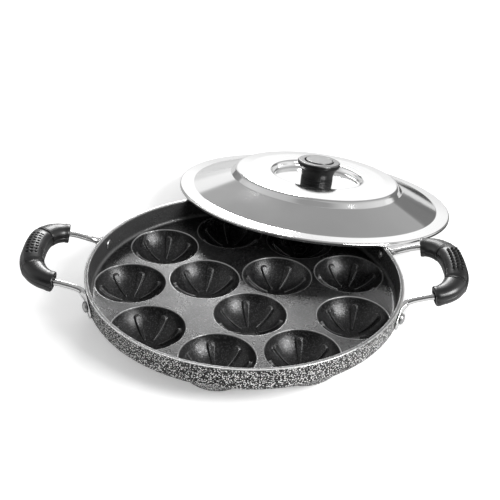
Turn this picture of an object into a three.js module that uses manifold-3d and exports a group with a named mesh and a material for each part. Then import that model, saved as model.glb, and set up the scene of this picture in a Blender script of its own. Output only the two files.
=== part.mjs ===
// A paniyaram pan: a round non-stick pan with twelve ribbed cavities, two bow handles and a domed lid.
// The lid leans on the back of the rim with its far edge on the table, as a cook parks it.
import * as THREE from 'three';
import { mergeVertices } from 'three/addons/utils/BufferGeometryUtils.js';
import Module from 'manifold-3d';

const wasm = await Module();
wasm.setup();

// Lengths in millimetres and angles in degrees, +Z up, the pan's axis on Z and the table at z = 0
const CLEAR = 0.3;
const CUT_OVER = 5;
const EMBED = 0.8;
const WELD = 1e-4;
const DOME_STEPS = 2;

// Pan: a pressed aluminium dish
const RIM_RADIUS = 115;
const PAN_SHEET = 3;
const WALL_DRAFT = 3;
const WALL_DEPTH = 16.1;
const CORNER_RADIUS = 3;
const RIM_ROUND = 0.7;
const DISH_SEGMENTS = 48;
const CORNER_STEPS = 2;

// Cavities: nine on an outer ring and three on an inner one
const CAVITY_RADIUS = 25.6;
const CAVITY_DEPTH = 17;
const LIP_RADIUS = 2;
const FOOT_RADIUS = 7;
const OUTER_COUNT = 9;
const OUTER_RING = 83.4;
const OUTER_TURN = -1.6;
const INNER_COUNT = 3;
const INNER_RING = 31.4;
const INNER_TURN = 38.4;
const CAVITY_SEGMENTS = 21;
const CAVITY_STEPS = 3;
const BOWL_SEGMENTS = 12;

// Ribs: raised teardrop bars that run down each cavity, their ends given as shares of the full rib
const RIB_COUNT = 7;
const RIB_HEIGHT = 1.1;
const RIB_TOP_WIDTH = 5;
const RIB_FOOT_WIDTH = 1.45;
const RIB_TOP_RADIUS = 23.2;
const RIB_FOOT_RADIUS = 6.5;
const RIB_SIDE_SLOPE = 0.6;
const RIB_NOSE_LENGTH = 0.12;
const RIB_NOSE_WIDTH = 0.55;
const RIB_NOSE_HEIGHT = 0.3;
const RIB_FOOT_HEIGHT = 0.5;

// Rivets: one through each foot of a handle rod
const RIVET_ANGLE = 21.4;
const RIVET_DROP = 7.5;
const RIVET_SHANK = 2;
const RIVET_HEAD = 4;
const RIVET_OUTER_HEIGHT = 2.6;
const RIVET_INNER_HEIGHT = 1.6;
const RIVET_SEGMENTS = 8;

// Handle rods: round wire with flattened feet
const ROD_RADIUS = 2.25;
const FOOT_WIDTH = 9;
const FOOT_THICKNESS = 2;
const FOOT_TIP = 8.8;
const FOOT_START = 9.5;
const FOOT_SLOPE = 38;
const FOOT_END_STEPS = 3;
const FOOT_RING_SEGMENTS = 96;
const ROD_START = 6.8;
const ROD_BEND = 11.5;
const BOW_TILT = 10.3;
const BOW_REACH = 26.1;
const BOW_HALF_WIDTH = 34.9;
const BOW_SQUARENESS = 2.34;
const BOW_START = 11.1;
const BOW_RISE = 4.4;
const BOW_STEPS = 20;
const ROD_STEPS = 32;
const ROD_SIDES = 8;

// Grips: two moulded halves round the bow of each rod
const GRIP_LENGTH = 88;
const GRIP_END_HALF_WIDTH = 7.1;
const GRIP_END_HALF_HEIGHT = 6.2;
const GRIP_HALF_WIDTH = 8.5;
const GRIP_HALF_HEIGHT = 7.5;
const GRIP_SIDES = 12;
const GRIP_END_ROUND = 1;
const GROOVE_SPACING = 50;
const GROOVE_WIDTH = 1.2;
const GROOVE_EDGE = 0.8;
const GROOVE_DEPTH = 1;
const GRIP_SCREW_SPACING = 30;
const GRIP_SCREW_OFFSET = 5;
const GRIP_SCREW_SHANK = 1.1;
const GRIP_SCREW_HEAD = 2;
const GRIP_SCREW_HEAD_HEIGHT = 1.5;
const GRIP_SCREW_SEAT = 3;
const GRIP_SCREW_REACH = 4;
const GRIP_SCREW_SEGMENTS = 8;

// Lid: spun stainless sheet with a rolled edge, a cone, a step and a flat crown
const LID_RADIUS = 116.3;
const LID_SHEET = 0.8;
const LID_HEM_RADIUS = 1.4;
const LID_CONE_FOOT = 104.8;
const LID_CONE_TOP = 73.6;
const LID_CONE_HEIGHT = 12.4;
const LID_CROWN_RADIUS = 69.6;
const LID_CROWN_HEIGHT = 17.9;
const LID_WELL_RADIUS = 39.2;
const LID_WELL_DEPTH = 5.5;
const LID_WELL_SLOPE = 3.3;
const LID_SEGMENTS = 48;
const HEM_STEPS = 3;
const LEAN_OFFSET = 157;
const LEAN_AZIMUTH = 67.7;
const LEAN_STEP = 0.25;
const LEAN_LIMIT = 45;
const LEAN_HALVINGS = 40;

// Knob: a moulded spool on a seat washer, with a cap, a threaded insert and a screw from below
const KNOB_BASE_RADIUS = 13.4;
const KNOB_BASE_EDGE = 0.8;
const KNOB_WAIST_RADIUS = 12.9;
const KNOB_TOP_RADIUS = 18.8;
const KNOB_HEIGHT = 15.6;
const KNOB_WAIST_HEIGHT = 3.5;
const KNOB_RIM_HEIGHT = 11.8;
const KNOB_EDGE_ROUND = 2.4;
const KNOB_SEGMENTS = 20;
const FLARE_STEPS = 4;
const CAP_RADIUS = 12.3;
const CAP_THICKNESS = 2.6;
const CAP_RAISE = 0.9;
const WASHER_RADIUS = 11.6;
const WASHER_THICKNESS = 1.3;
const INSERT_RADIUS = 4.5;
const INSERT_LENGTH = 9;
const KNOB_SCREW_RADIUS = 2.4;
const KNOB_SCREW_REACH = 8;
const KNOB_SCREW_HEAD = 4.6;
const KNOB_SCREW_HEAD_HEIGHT = 3;
const KNOB_SCREW_SEGMENTS = 12;
const SCREW_WASHER_RADIUS = 7;
const SCREW_WASHER_THICKNESS = 1;
const RING_SEGMENTS = 16;

const rad = THREE.MathUtils.degToRad;

// Sizes that follow from the driving dimensions
const sphereRadius = (CAVITY_RADIUS ** 2 + CAVITY_DEPTH ** 2) / (2 * CAVITY_DEPTH);
const sphereRise = sphereRadius - CAVITY_DEPTH;
const outerSphere = sphereRadius + PAN_SHEET;
const deckHeight = Math.sqrt(outerSphere ** 2 - FOOT_RADIUS ** 2) - sphereRise;
const rimHeight = deckHeight + WALL_DEPTH;
const draft = Math.tan(rad(WALL_DRAFT));

function wallRadius(z) {
  return RIM_RADIUS - draft * (rimHeight - z);
}

function finish(colour, roughness, metalness) {
  return new THREE.MeshStandardMaterial({ color: colour, roughness, metalness });
}

function makeMesh(name, geometry, material) {
  const mesh = new THREE.Mesh(geometry, material);
  mesh.name = name;
  return mesh;
}

// A closed geometry as a solid for cutting and joining
function solidOf(geometry) {
  const bare = geometry.clone();
  bare.deleteAttribute('normal');
  bare.deleteAttribute('uv');
  const merged = mergeVertices(bare, WELD);
  const index = merged.index.array;
  const kept = [];
  for (let i = 0; i < index.length; i += 3) {
    const [a, b, c] = index.slice(i, i + 3);
    if (a !== b && b !== c && c !== a) kept.push(a, b, c);
  }
  const vertProperties = new Float32Array(merged.attributes.position.array);
  return new wasm.Manifold(new wasm.Mesh({ numProp: 3, vertProperties, triVerts: new Uint32Array(kept) }));
}

function geometryOf(solid) {
  const mesh = solid.getMesh();
  const geometry = new THREE.BufferGeometry();
  geometry.setAttribute('position', new THREE.BufferAttribute(new Float32Array(mesh.vertProperties), 3));
  geometry.setIndex(Array.from(mesh.triVerts));
  geometry.computeVertexNormals();
  return geometry;
}

// Points of an arc in a profile, both ends included
function arc(x, y, radius, from, to, steps) {
  const points = [];
  for (let i = 0; i <= steps; i++) {
    const turn = from + ((to - from) * i) / steps;
    points.push(new THREE.Vector2(x + radius * Math.cos(turn), y + radius * Math.sin(turn)));
  }
  return points;
}

// A profile of radius and height, run from the bottom outwards and up, turned about Z from +X
function revolve(points, segments) {
  return new THREE.LatheGeometry(points, segments).rotateX(Math.PI / 2).rotateZ(Math.PI / 2);
}

// Points of a domed head's profile, from its edge at a level to its top on the axis
function dome(radius, edge, top) {
  const points = arc(0, 0, 1, 0, Math.PI / 2, DOME_STEPS).slice(0, -1);
  const bulge = points.map((p) => new THREE.Vector2(p.x * radius, edge + (top - edge) * p.y));
  return [...bulge, new THREE.Vector2(0, top)];
}

function cylinder(radius, low, high, segments) {
  const geometry = new THREE.CylinderGeometry(radius, radius, high - low, segments);
  return geometry.rotateX(Math.PI / 2).translate(0, 0, (low + high) / 2);
}

// Joins outlines of equal point count, each drawn on its own origin and axes, into one closed solid
function loft(stations) {
  const count = stations[0].outline.length;
  const positions = [];
  for (const { origin, u, v, outline } of stations) {
    for (const p of outline) {
      const point = origin.clone().addScaledVector(u, p.x).addScaledVector(v, p.y);
      positions.push(point.x, point.y, point.z);
    }
  }
  const index = [];
  for (let i = 0; i < stations.length - 1; i++) {
    for (let j = 0; j < count; j++) {
      const a = i * count + j;
      const b = i * count + ((j + 1) % count);
      index.push(a, b, b + count, a, b + count, a + count);
    }
  }
  const last = (stations.length - 1) * count;
  for (const [a, b, c] of THREE.ShapeUtils.triangulateShape(stations[0].outline, [])) {
    index.push(a, c, b);
    index.push(last + a, last + b, last + c);
  }
  const geometry = new THREE.BufferGeometry();
  geometry.setAttribute('position', new THREE.Float32BufferAttribute(positions, 3));
  geometry.setIndex(index);
  geometry.computeVertexNormals();
  return geometry;
}

// The wall, rim and deck as one pressed sheet
function dishGeometry() {
  const lean = rad(WALL_DRAFT);
  const outerCorner = CORNER_RADIUS + PAN_SHEET;
  const under = deckHeight - PAN_SHEET;
  const innerX = wallRadius(deckHeight) - PAN_SHEET / Math.cos(lean);
  const cornerX = innerX - CORNER_RADIUS / Math.cos(lean) + draft * CORNER_RADIUS;
  const cornerZ = deckHeight + CORNER_RADIUS;
  const rimInner = RIM_RADIUS - PAN_SHEET / Math.cos(lean);
  return revolve([
    new THREE.Vector2(0, under),
    ...arc(cornerX, cornerZ, outerCorner, -Math.PI / 2, -lean, CORNER_STEPS),
    new THREE.Vector2(wallRadius(rimHeight - RIM_ROUND), rimHeight - RIM_ROUND),
    new THREE.Vector2(RIM_RADIUS - RIM_ROUND, rimHeight),
    new THREE.Vector2(rimInner + RIM_ROUND, rimHeight),
    new THREE.Vector2(rimInner - draft * RIM_ROUND, rimHeight - RIM_ROUND),
    ...arc(cornerX, cornerZ, CORNER_RADIUS, -lean, -Math.PI / 2, CORNER_STEPS),
    new THREE.Vector2(0, deckHeight),
  ], DISH_SEGMENTS);
}

// The hollow of one cavity, with its rounded lip, from the deck plane down
function hollowGeometry() {
  const lipX = Math.sqrt((sphereRadius + LIP_RADIUS) ** 2 - (sphereRise + LIP_RADIUS) ** 2);
  const lipAngle = Math.atan2(-(sphereRise + LIP_RADIUS), lipX);
  const hollow = revolve([
    new THREE.Vector2(0, -CAVITY_DEPTH),
    ...arc(0, sphereRise, sphereRadius, -Math.PI / 2, lipAngle, CAVITY_STEPS).slice(1),
    new THREE.Vector2(lipX, 0),
    new THREE.Vector2(lipX, CUT_OVER),
    new THREE.Vector2(0, CUT_OVER),
  ], CAVITY_SEGMENTS);
  return hollow.rotateZ(Math.PI / CAVITY_SEGMENTS);
}

// The outside of one cavity: a round bowl cut flat where it stands on the stove
function bowlGeometry() {
  const footAngle = Math.atan2(-(deckHeight + sphereRise), FOOT_RADIUS);
  const topAngle = Math.asin(-(sphereRise + PAN_SHEET / 2) / outerSphere);
  return revolve([
    new THREE.Vector2(0, -deckHeight),
    ...arc(0, sphereRise, outerSphere, footAngle, topAngle, CAVITY_STEPS),
    new THREE.Vector2(0, -PAN_SHEET / 2),
  ], BOWL_SEGMENTS);
}

// One rib of a cavity, wide and round at the top and narrow at its foot
function ribGeometry() {
  const topAngle = Math.asin(RIB_TOP_RADIUS / sphereRadius);
  const footAngle = Math.asin(RIB_FOOT_RADIUS / sphereRadius);
  const centre = new THREE.Vector3(0, 0, sphereRise);
  const shares = [[0, RIB_NOSE_WIDTH, RIB_NOSE_HEIGHT], [RIB_NOSE_LENGTH, 1, 1], [1, 1, RIB_FOOT_HEIGHT]];
  const stations = shares.map(([share, widthShare, heightShare]) => {
    const angle = topAngle + (footAngle - topAngle) * share;
    const outward = new THREE.Vector3(Math.sin(angle), 0, -Math.cos(angle));
    const width = (RIB_TOP_WIDTH + (RIB_FOOT_WIDTH - RIB_TOP_WIDTH) * share) * widthShare;
    const foot = width / 2;
    const crest = foot * RIB_SIDE_SLOPE;
    const inner = sphereRadius - RIB_HEIGHT * heightShare;
    const outer = sphereRadius + EMBED;
    const outline = [
      new THREE.Vector2(outer, -foot),
      new THREE.Vector2(outer, foot),
      new THREE.Vector2(inner, crest),
      new THREE.Vector2(inner, -crest),
    ];
    return { origin: centre, u: outward, v: new THREE.Vector3(0, 1, 0), outline };
  });
  return loft(stations.reverse());
}

// Places of the cavities, each with the direction that one of its ribs points in
function cavityPlaces() {
  const places = [];
  for (let i = 0; i < OUTER_COUNT; i++) {
    const angle = rad(OUTER_TURN + (i * 360) / OUTER_COUNT + 180);
    places.push({ angle, ring: OUTER_RING, ribTurn: angle });
  }
  for (let i = 0; i < INNER_COUNT; i++) {
    const angle = rad(INNER_TURN + (i * 360) / INNER_COUNT);
    places.push({ angle, ring: INNER_RING, ribTurn: angle + Math.PI });
  }
  return places;
}

function panBody() {
  const bowl = solidOf(bowlGeometry());
  const hollow = solidOf(hollowGeometry());
  const rib = solidOf(ribGeometry());
  const ribs = [];
  for (let i = 0; i < RIB_COUNT; i++) ribs.push(rib.rotate(0, 0, (i * 360) / RIB_COUNT));
  const ribSet = wasm.Manifold.union(ribs);
  const at = (solid, place) => solid
    .rotate(0, 0, THREE.MathUtils.radToDeg(place.ribTurn))
    .translate(place.ring * Math.cos(place.angle), place.ring * Math.sin(place.angle), deckHeight);
  const places = cavityPlaces();
  let body = solidOf(dishGeometry());
  body = body.add(wasm.Manifold.union(places.map((place) => at(bowl, place))));
  body = body.subtract(wasm.Manifold.union(places.map((place) => at(hollow, place))));
  body = body.add(wasm.Manifold.union(places.map((place) => at(ribSet, place))));
  body = body.subtract(wasm.Manifold.union(rivetHoles()));
  return makeMesh('pan_body', geometryOf(body), finish(0x2c2c2e, 0.5, 0.3));
}

// Frame of one rivet: its origin on the outside of the wall and its axis square to the wall
function rivetFrame(side) {
  const z = rimHeight - RIVET_DROP;
  const radius = wallRadius(z);
  const angle = side * rad(RIVET_ANGLE);
  const turn = new THREE.Matrix4().makeRotationZ(angle);
  const lay = new THREE.Matrix4().makeRotationY(Math.PI / 2 + rad(WALL_DRAFT));
  return turn.multiply(new THREE.Matrix4().makeTranslation(radius, 0, z)).multiply(lay);
}

function rivetHole(side) {
  const reach = PAN_SHEET + FOOT_THICKNESS + CUT_OVER;
  const hole = cylinder(RIVET_SHANK + CLEAR, -reach, reach, RIVET_SEGMENTS);
  return solidOf(hole.applyMatrix4(rivetFrame(side)));
}

function rivetHoles() {
  return [1, -1].flatMap((side) => [0, 180].map((turn) => rivetHole(side).rotate(0, 0, turn)));
}

// A shank with a domed head outside the foot and a flatter one inside the wall
function rivetGeometry() {
  const outside = CLEAR + FOOT_THICKNESS + CLEAR;
  const inside = PAN_SHEET + CLEAR + RIVET_HEAD ** 2 / (2 * (RIM_RADIUS - PAN_SHEET));
  return revolve([
    ...dome(RIVET_HEAD, -inside, -inside - RIVET_INNER_HEIGHT).reverse(),
    new THREE.Vector2(RIVET_SHANK, -inside),
    new THREE.Vector2(RIVET_SHANK, outside),
    new THREE.Vector2(RIVET_HEAD, outside),
    ...dome(RIVET_HEAD, outside + RIVET_OUTER_HEIGHT / 2, outside + RIVET_OUTER_HEIGHT),
  ], RIVET_SEGMENTS);
}

// A point on the sloping line that a foot follows over the wall, by its distance past the rivet
function footPoint(distance, standOff, side) {
  const slope = rad(FOOT_SLOPE);
  const angle = rad(RIVET_ANGLE) + (distance * Math.cos(slope)) / RIM_RADIUS;
  const z = rimHeight - RIVET_DROP - distance * Math.sin(slope);
  const radius = wallRadius(z) + standOff;
  return new THREE.Vector3(radius * Math.cos(angle), side * radius * Math.sin(angle), z);
}

// The flattened foot: a sloping bar with round ends, cut out of a ring that hugs the wall
function footSolid(side) {
  const low = deckHeight - PAN_SHEET;
  const high = rimHeight + CUT_OVER;
  const ring = solidOf(revolve([
    new THREE.Vector2(wallRadius(low) + CLEAR, low),
    new THREE.Vector2(wallRadius(low) + CLEAR + FOOT_THICKNESS, low),
    new THREE.Vector2(wallRadius(high) + CLEAR + FOOT_THICKNESS, high),
    new THREE.Vector2(wallRadius(high) + CLEAR, high),
    new THREE.Vector2(wallRadius(low) + CLEAR, low),
  ], FOOT_RING_SEGMENTS));
  const half = FOOT_WIDTH / 2;
  const outline = new THREE.Shape();
  outline.moveTo(half - FOOT_START, -half);
  outline.absarc(FOOT_TIP - half, 0, half, -Math.PI / 2, Math.PI / 2, false);
  outline.absarc(half - FOOT_START, 0, half, Math.PI / 2, (Math.PI * 3) / 2, false);
  const depth = CUT_OVER * 4;
  const options = { depth, bevelEnabled: false, curveSegments: FOOT_END_STEPS };
  const bar = new THREE.ExtrudeGeometry(outline, options);
  bar.translate(0, 0, -depth / 2);
  bar.rotateZ(-rad(FOOT_SLOPE));
  const stand = new THREE.Matrix4().makeBasis(
    new THREE.Vector3(0, 1, 0),
    new THREE.Vector3(0, 0, 1),
    new THREE.Vector3(1, 0, 0),
  );
  bar.applyMatrix4(stand);
  bar.translate(RIM_RADIUS, 0, rimHeight - RIVET_DROP);
  let foot = solidOf(bar).rotate(0, 0, RIVET_ANGLE).intersect(ring);
  if (side < 0) foot = foot.mirror([0, 1, 0]);
  return foot;
}

// Centre line of a rod, from foot to foot by way of the bow, in a frame with X pointing out of the pan
function rodCurve() {
  const tilt = rad(BOW_TILT);
  const standOff = CLEAR + ROD_RADIUS;
  const ends = (side) => [footPoint(-ROD_START, standOff, side), footPoint(-ROD_BEND, standOff, side)];
  const bow = [];
  for (let i = 0; i <= BOW_STEPS; i++) {
    const turn = Math.PI * (i / BOW_STEPS - 0.5);
    const out = BOW_REACH * Math.abs(Math.cos(turn)) ** (2 / BOW_SQUARENESS);
    const swing = Math.abs(Math.sin(turn)) ** (2 / BOW_SQUARENESS);
    const across = BOW_HALF_WIDTH * Math.sign(turn) * swing;
    const x = RIM_RADIUS + BOW_START + out * Math.cos(tilt);
    bow.push(new THREE.Vector3(x, across, rimHeight + BOW_RISE + out * Math.sin(tilt)));
  }
  return new THREE.CatmullRomCurve3([...ends(-1), ...bow, ...ends(1).reverse()], false, 'centripetal');
}

function handleRod(name, curve) {
  const section = new THREE.Shape();
  section.absarc(0, 0, ROD_RADIUS, 0, Math.PI * 2, false);
  const options = { steps: ROD_STEPS, curveSegments: ROD_SIDES / 2, extrudePath: curve };
  const tube = new THREE.ExtrudeGeometry(section, options);
  let rod = solidOf(tube);
  for (const side of [1, -1]) rod = rod.add(footSolid(side)).subtract(rivetHole(side));
  return makeMesh(name, geometryOf(rod), finish(0xc8c8c8, 0.2, 0.9));
}

// Frame on the bow at a distance from its middle: u points to the pan, v up out of the bow's plane
function bowFrame(curve, distance) {
  const share = 0.5 + distance / curve.getLength();
  const v = new THREE.Vector3(-Math.sin(rad(BOW_TILT)), 0, Math.cos(rad(BOW_TILT)));
  const u = v.clone().cross(curve.getTangentAt(share)).normalize();
  return { origin: curve.getPointAt(share), u, v };
}

// Half of the grip's section: an outer half oval and the channel that the rod lies in
function gripOutline(halfWidth, halfHeight, upper) {
  const channel = (ROD_RADIUS + CLEAR) / Math.cos(Math.PI / ROD_SIDES);
  const level = CLEAR / 2;
  const oval = arc(0, 0, 1, 0, Math.PI, GRIP_SIDES / 2);
  const outline = oval.map((p) => new THREE.Vector2(p.x * halfWidth, level + p.y * (halfHeight - level)));
  outline.push(...arc(0, level, channel, Math.PI, 0, ROD_SIDES / 2));
  if (upper) return outline;
  return outline.map((p) => new THREE.Vector2(p.x, -p.y)).reverse();
}

// Places along the grip and how far the section is drawn in there
function gripMarks() {
  const half = GRIP_LENGTH / 2;
  const groove = GROOVE_SPACING / 2;
  const ends = [half, half - GRIP_END_ROUND, (half + groove) / 2];
  const outer = groove + GROOVE_WIDTH / 2;
  const inner = groove - GROOVE_WIDTH / 2;
  const side = [...ends, outer + GROOVE_EDGE, outer, inner, inner - GROOVE_EDGE, groove / 2];
  return [...side.map((d) => -d), 0, ...side.reverse()];
}

function gripHalf(name, curve, upper) {
  const half = GRIP_LENGTH / 2;
  const groove = GROOVE_SPACING / 2;
  const stations = gripMarks().map((distance) => {
    const along = Math.abs(distance);
    const taper = Math.max(0, (along - groove) / (half - groove));
    const inGroove = Math.abs(along - groove) < (GROOVE_WIDTH + GROOVE_EDGE) / 2;
    const drawn = (inGroove ? GROOVE_DEPTH : 0) + (along === half ? GRIP_END_ROUND : 0);
    const width = GRIP_HALF_WIDTH + (GRIP_END_HALF_WIDTH - GRIP_HALF_WIDTH) * taper - drawn;
    const height = GRIP_HALF_HEIGHT + (GRIP_END_HALF_HEIGHT - GRIP_HALF_HEIGHT) * taper - drawn;
    return { ...bowFrame(curve, distance), outline: gripOutline(width, height, upper) };
  });
  let body = solidOf(loft(stations));
  for (const side of [1, -1]) {
    const low = -GRIP_HALF_HEIGHT - CUT_OVER;
    const hole = cylinder(GRIP_SCREW_SHANK + CLEAR, low, GRIP_SCREW_REACH + CLEAR, GRIP_SCREW_SEGMENTS);
    const bore = cylinder(GRIP_SCREW_HEAD + CLEAR, low, -GRIP_SCREW_SEAT, GRIP_SCREW_SEGMENTS);
    const frame = screwFrame(curve, side);
    body = body.subtract(solidOf(hole.applyMatrix4(frame)));
    if (!upper) body = body.subtract(solidOf(bore.applyMatrix4(frame)));
  }
  return makeMesh(name, geometryOf(body), finish(0x1a1a1b, 0.4, 0));
}

function screwFrame(curve, side) {
  const { origin, u, v } = bowFrame(curve, (side * GRIP_SCREW_SPACING) / 2);
  const place = origin.clone().addScaledVector(u, GRIP_SCREW_OFFSET);
  return new THREE.Matrix4().makeBasis(u, v.clone().cross(u), v).setPosition(place);
}

function gripScrew(name, curve, side) {
  const headTop = -GRIP_SCREW_SEAT - CLEAR;
  const headLow = headTop - GRIP_SCREW_HEAD_HEIGHT;
  const geometry = revolve([
    ...dome(GRIP_SCREW_HEAD, (headTop + headLow) / 2, headLow).reverse(),
    new THREE.Vector2(GRIP_SCREW_HEAD, headTop),
    new THREE.Vector2(GRIP_SCREW_SHANK, headTop),
    new THREE.Vector2(GRIP_SCREW_SHANK, GRIP_SCREW_REACH),
    new THREE.Vector2(0, GRIP_SCREW_REACH),
  ], GRIP_SCREW_SEGMENTS).rotateZ(Math.PI / GRIP_SCREW_SEGMENTS);
  const screw = makeMesh(name, geometry, finish(0xb0b0b0, 0.35, 0.9));
  screw.applyMatrix4(screwFrame(curve, side));
  return screw;
}

// One handle with its rod, grip halves, screws and rivets, turned to its side of the pan
function handle(sideName, turn, endNames) {
  const group = new THREE.Group();
  const curve = rodCurve();
  group.add(handleRod(`handle_rod_${sideName}`, curve));
  group.add(gripHalf(`grip_upper_${sideName}`, curve, true));
  group.add(gripHalf(`grip_lower_${sideName}`, curve, false));
  [1, -1].forEach((side, i) => {
    const rivet = makeMesh(`rivet_${sideName}_${endNames[i]}`, rivetGeometry(), finish(0x8e8e90, 0.4, 0.85));
    rivet.applyMatrix4(rivetFrame(side));
    group.add(rivet);
    group.add(gripScrew(`grip_screw_${sideName}_${endNames[i]}`, curve, side));
  });
  group.rotation.z = rad(turn);
  return group;
}

// Top line of the lid, from its rolled hem in to the middle, as radius and height over the flange
function lidLine() {
  return [
    new THREE.Vector2(LID_RADIUS - LID_HEM_RADIUS, 0),
    new THREE.Vector2(LID_CONE_FOOT, 0),
    new THREE.Vector2(LID_CONE_TOP, LID_CONE_HEIGHT),
    new THREE.Vector2(LID_CROWN_RADIUS, LID_CROWN_HEIGHT),
    new THREE.Vector2(LID_WELL_RADIUS, LID_CROWN_HEIGHT),
    new THREE.Vector2(LID_WELL_RADIUS - LID_WELL_SLOPE, LID_CROWN_HEIGHT - LID_WELL_DEPTH),
    new THREE.Vector2(0, LID_CROWN_HEIGHT - LID_WELL_DEPTH),
  ];
}

function lidShell() {
  const top = lidLine();
  const under = top.map((p) => new THREE.Vector2(p.x, p.y - LID_SHEET)).reverse();
  const hemX = LID_RADIUS - LID_HEM_RADIUS;
  const hem = arc(hemX, -LID_HEM_RADIUS, LID_HEM_RADIUS, -Math.PI, Math.PI / 2, HEM_STEPS);
  const inner = new THREE.Vector2(hemX - LID_HEM_RADIUS, -LID_SHEET);
  const profile = [...under.slice(0, -1), inner, ...hem, ...top.slice(1)];
  const shell = solidOf(revolve(profile, LID_SEGMENTS));
  const hole = cylinder(KNOB_SCREW_RADIUS + CLEAR, 0, LID_CROWN_HEIGHT + CUT_OVER, KNOB_SCREW_SEGMENTS);
  return makeMesh('lid_shell', geometryOf(shell.subtract(solidOf(hole))), finish(0xd8d8da, 0.12, 1));
}

// Height of the lid's underside at a radius, with the hem's round bottom
function lidUnder(radius) {
  const fromHem = radius - (LID_RADIUS - LID_HEM_RADIUS);
  if (fromHem > LID_HEM_RADIUS) return Infinity;
  if (Math.abs(fromHem) <= LID_HEM_RADIUS) {
    return -LID_HEM_RADIUS - Math.sqrt(LID_HEM_RADIUS ** 2 - fromHem ** 2);
  }
  const line = lidLine();
  const i = line.findIndex((p) => p.x <= radius);
  const share = (radius - line[i].x) / (line[i - 1].x - line[i].x);
  return line[i].y + (line[i - 1].y - line[i].y) * share - LID_SHEET;
}

// Height of the leaning lid's centre when its far edge stands on the table
function leanHeight(tilt) {
  const hemX = LID_RADIUS - LID_HEM_RADIUS;
  return hemX * Math.sin(tilt) + LID_HEM_RADIUS * (1 + Math.cos(tilt));
}

// Least gap between the rim and the underside of the leaning lid
function leanGap(tilt) {
  let least = Infinity;
  const up = rimHeight - leanHeight(tilt);
  for (const ring of [RIM_RADIUS - RIM_ROUND, RIM_RADIUS - PAN_SHEET + RIM_ROUND]) {
    for (let turn = 0; turn <= 90; turn += LEAN_STEP) {
      const out = ring * Math.cos(rad(turn)) - LEAN_OFFSET;
      const along = out * Math.cos(tilt) - up * Math.sin(tilt);
      const height = out * Math.sin(tilt) + up * Math.cos(tilt);
      const radius = Math.hypot(along, ring * Math.sin(rad(turn)));
      least = Math.min(least, lidUnder(radius) - height);
    }
  }
  return least;
}

// Tilt at which the lid comes to rest on the rim, found by halving the range
function leanTilt() {
  let low = 0;
  let high = rad(LEAN_LIMIT);
  for (let i = 0; i < LEAN_HALVINGS; i++) {
    const middle = (low + high) / 2;
    if (leanGap(middle) < CLEAR) low = middle;
    else high = middle;
  }
  return high;
}

// Heights of the knob's pieces over the flange plane
const wellTop = LID_CROWN_HEIGHT - LID_WELL_DEPTH;
const washerLow = wellTop + CLEAR;
const knobLow = washerLow + WASHER_THICKNESS + CLEAR;
const knobHigh = knobLow + KNOB_HEIGHT;
const capLow = knobHigh - CAP_THICKNESS + CAP_RAISE;
const screwWasherHigh = wellTop - LID_SHEET - CLEAR;

function knob() {
  const flareWidth = KNOB_TOP_RADIUS - KNOB_WAIST_RADIUS;
  const flareHeight = KNOB_RIM_HEIGHT - KNOB_WAIST_HEIGHT;
  const flare = arc(0, 0, 1, 0, Math.PI / 2, FLARE_STEPS).map((p) => new THREE.Vector2(
    KNOB_TOP_RADIUS - flareWidth * p.x,
    knobLow + KNOB_WAIST_HEIGHT + flareHeight * p.y,
  ));
  const edgeX = KNOB_TOP_RADIUS - KNOB_EDGE_ROUND;
  const crown = arc(edgeX, knobHigh - KNOB_EDGE_ROUND, KNOB_EDGE_ROUND, 0, Math.PI / 2, DOME_STEPS);
  const bore = INSERT_RADIUS + CLEAR;
  const boreTop = knobLow + CLEAR + INSERT_LENGTH;
  const profile = [
    new THREE.Vector2(0, boreTop),
    new THREE.Vector2(bore, boreTop),
    new THREE.Vector2(bore, knobLow),
    new THREE.Vector2(KNOB_BASE_RADIUS - KNOB_BASE_EDGE, knobLow),
    new THREE.Vector2(KNOB_BASE_RADIUS, knobLow + KNOB_BASE_EDGE),
    ...flare,
    ...crown,
    new THREE.Vector2(CAP_RADIUS + CLEAR, knobHigh),
    new THREE.Vector2(CAP_RADIUS + CLEAR, capLow - CLEAR),
    new THREE.Vector2(0, capLow - CLEAR),
  ];
  return makeMesh('lid_knob', revolve(profile, KNOB_SEGMENTS), finish(0x141415, 0.3, 0));
}

function knobCap() {
  const high = knobHigh + CAP_RAISE;
  const profile = [
    new THREE.Vector2(0, capLow),
    new THREE.Vector2(CAP_RADIUS, capLow),
    new THREE.Vector2(CAP_RADIUS, high - CAP_RAISE / 2),
    new THREE.Vector2(CAP_RADIUS - CAP_RAISE, high),
    new THREE.Vector2(0, high),
  ];
  return makeMesh('knob_cap', revolve(profile, KNOB_SEGMENTS), finish(0x1c1c1d, 0.35, 0));
}

function ringGeometry(inner, outer, low, high, segments) {
  return revolve([
    new THREE.Vector2(inner, low),
    new THREE.Vector2(outer, low),
    new THREE.Vector2(outer, high),
    new THREE.Vector2(inner, high),
    new THREE.Vector2(inner, low),
  ], segments);
}

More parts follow.
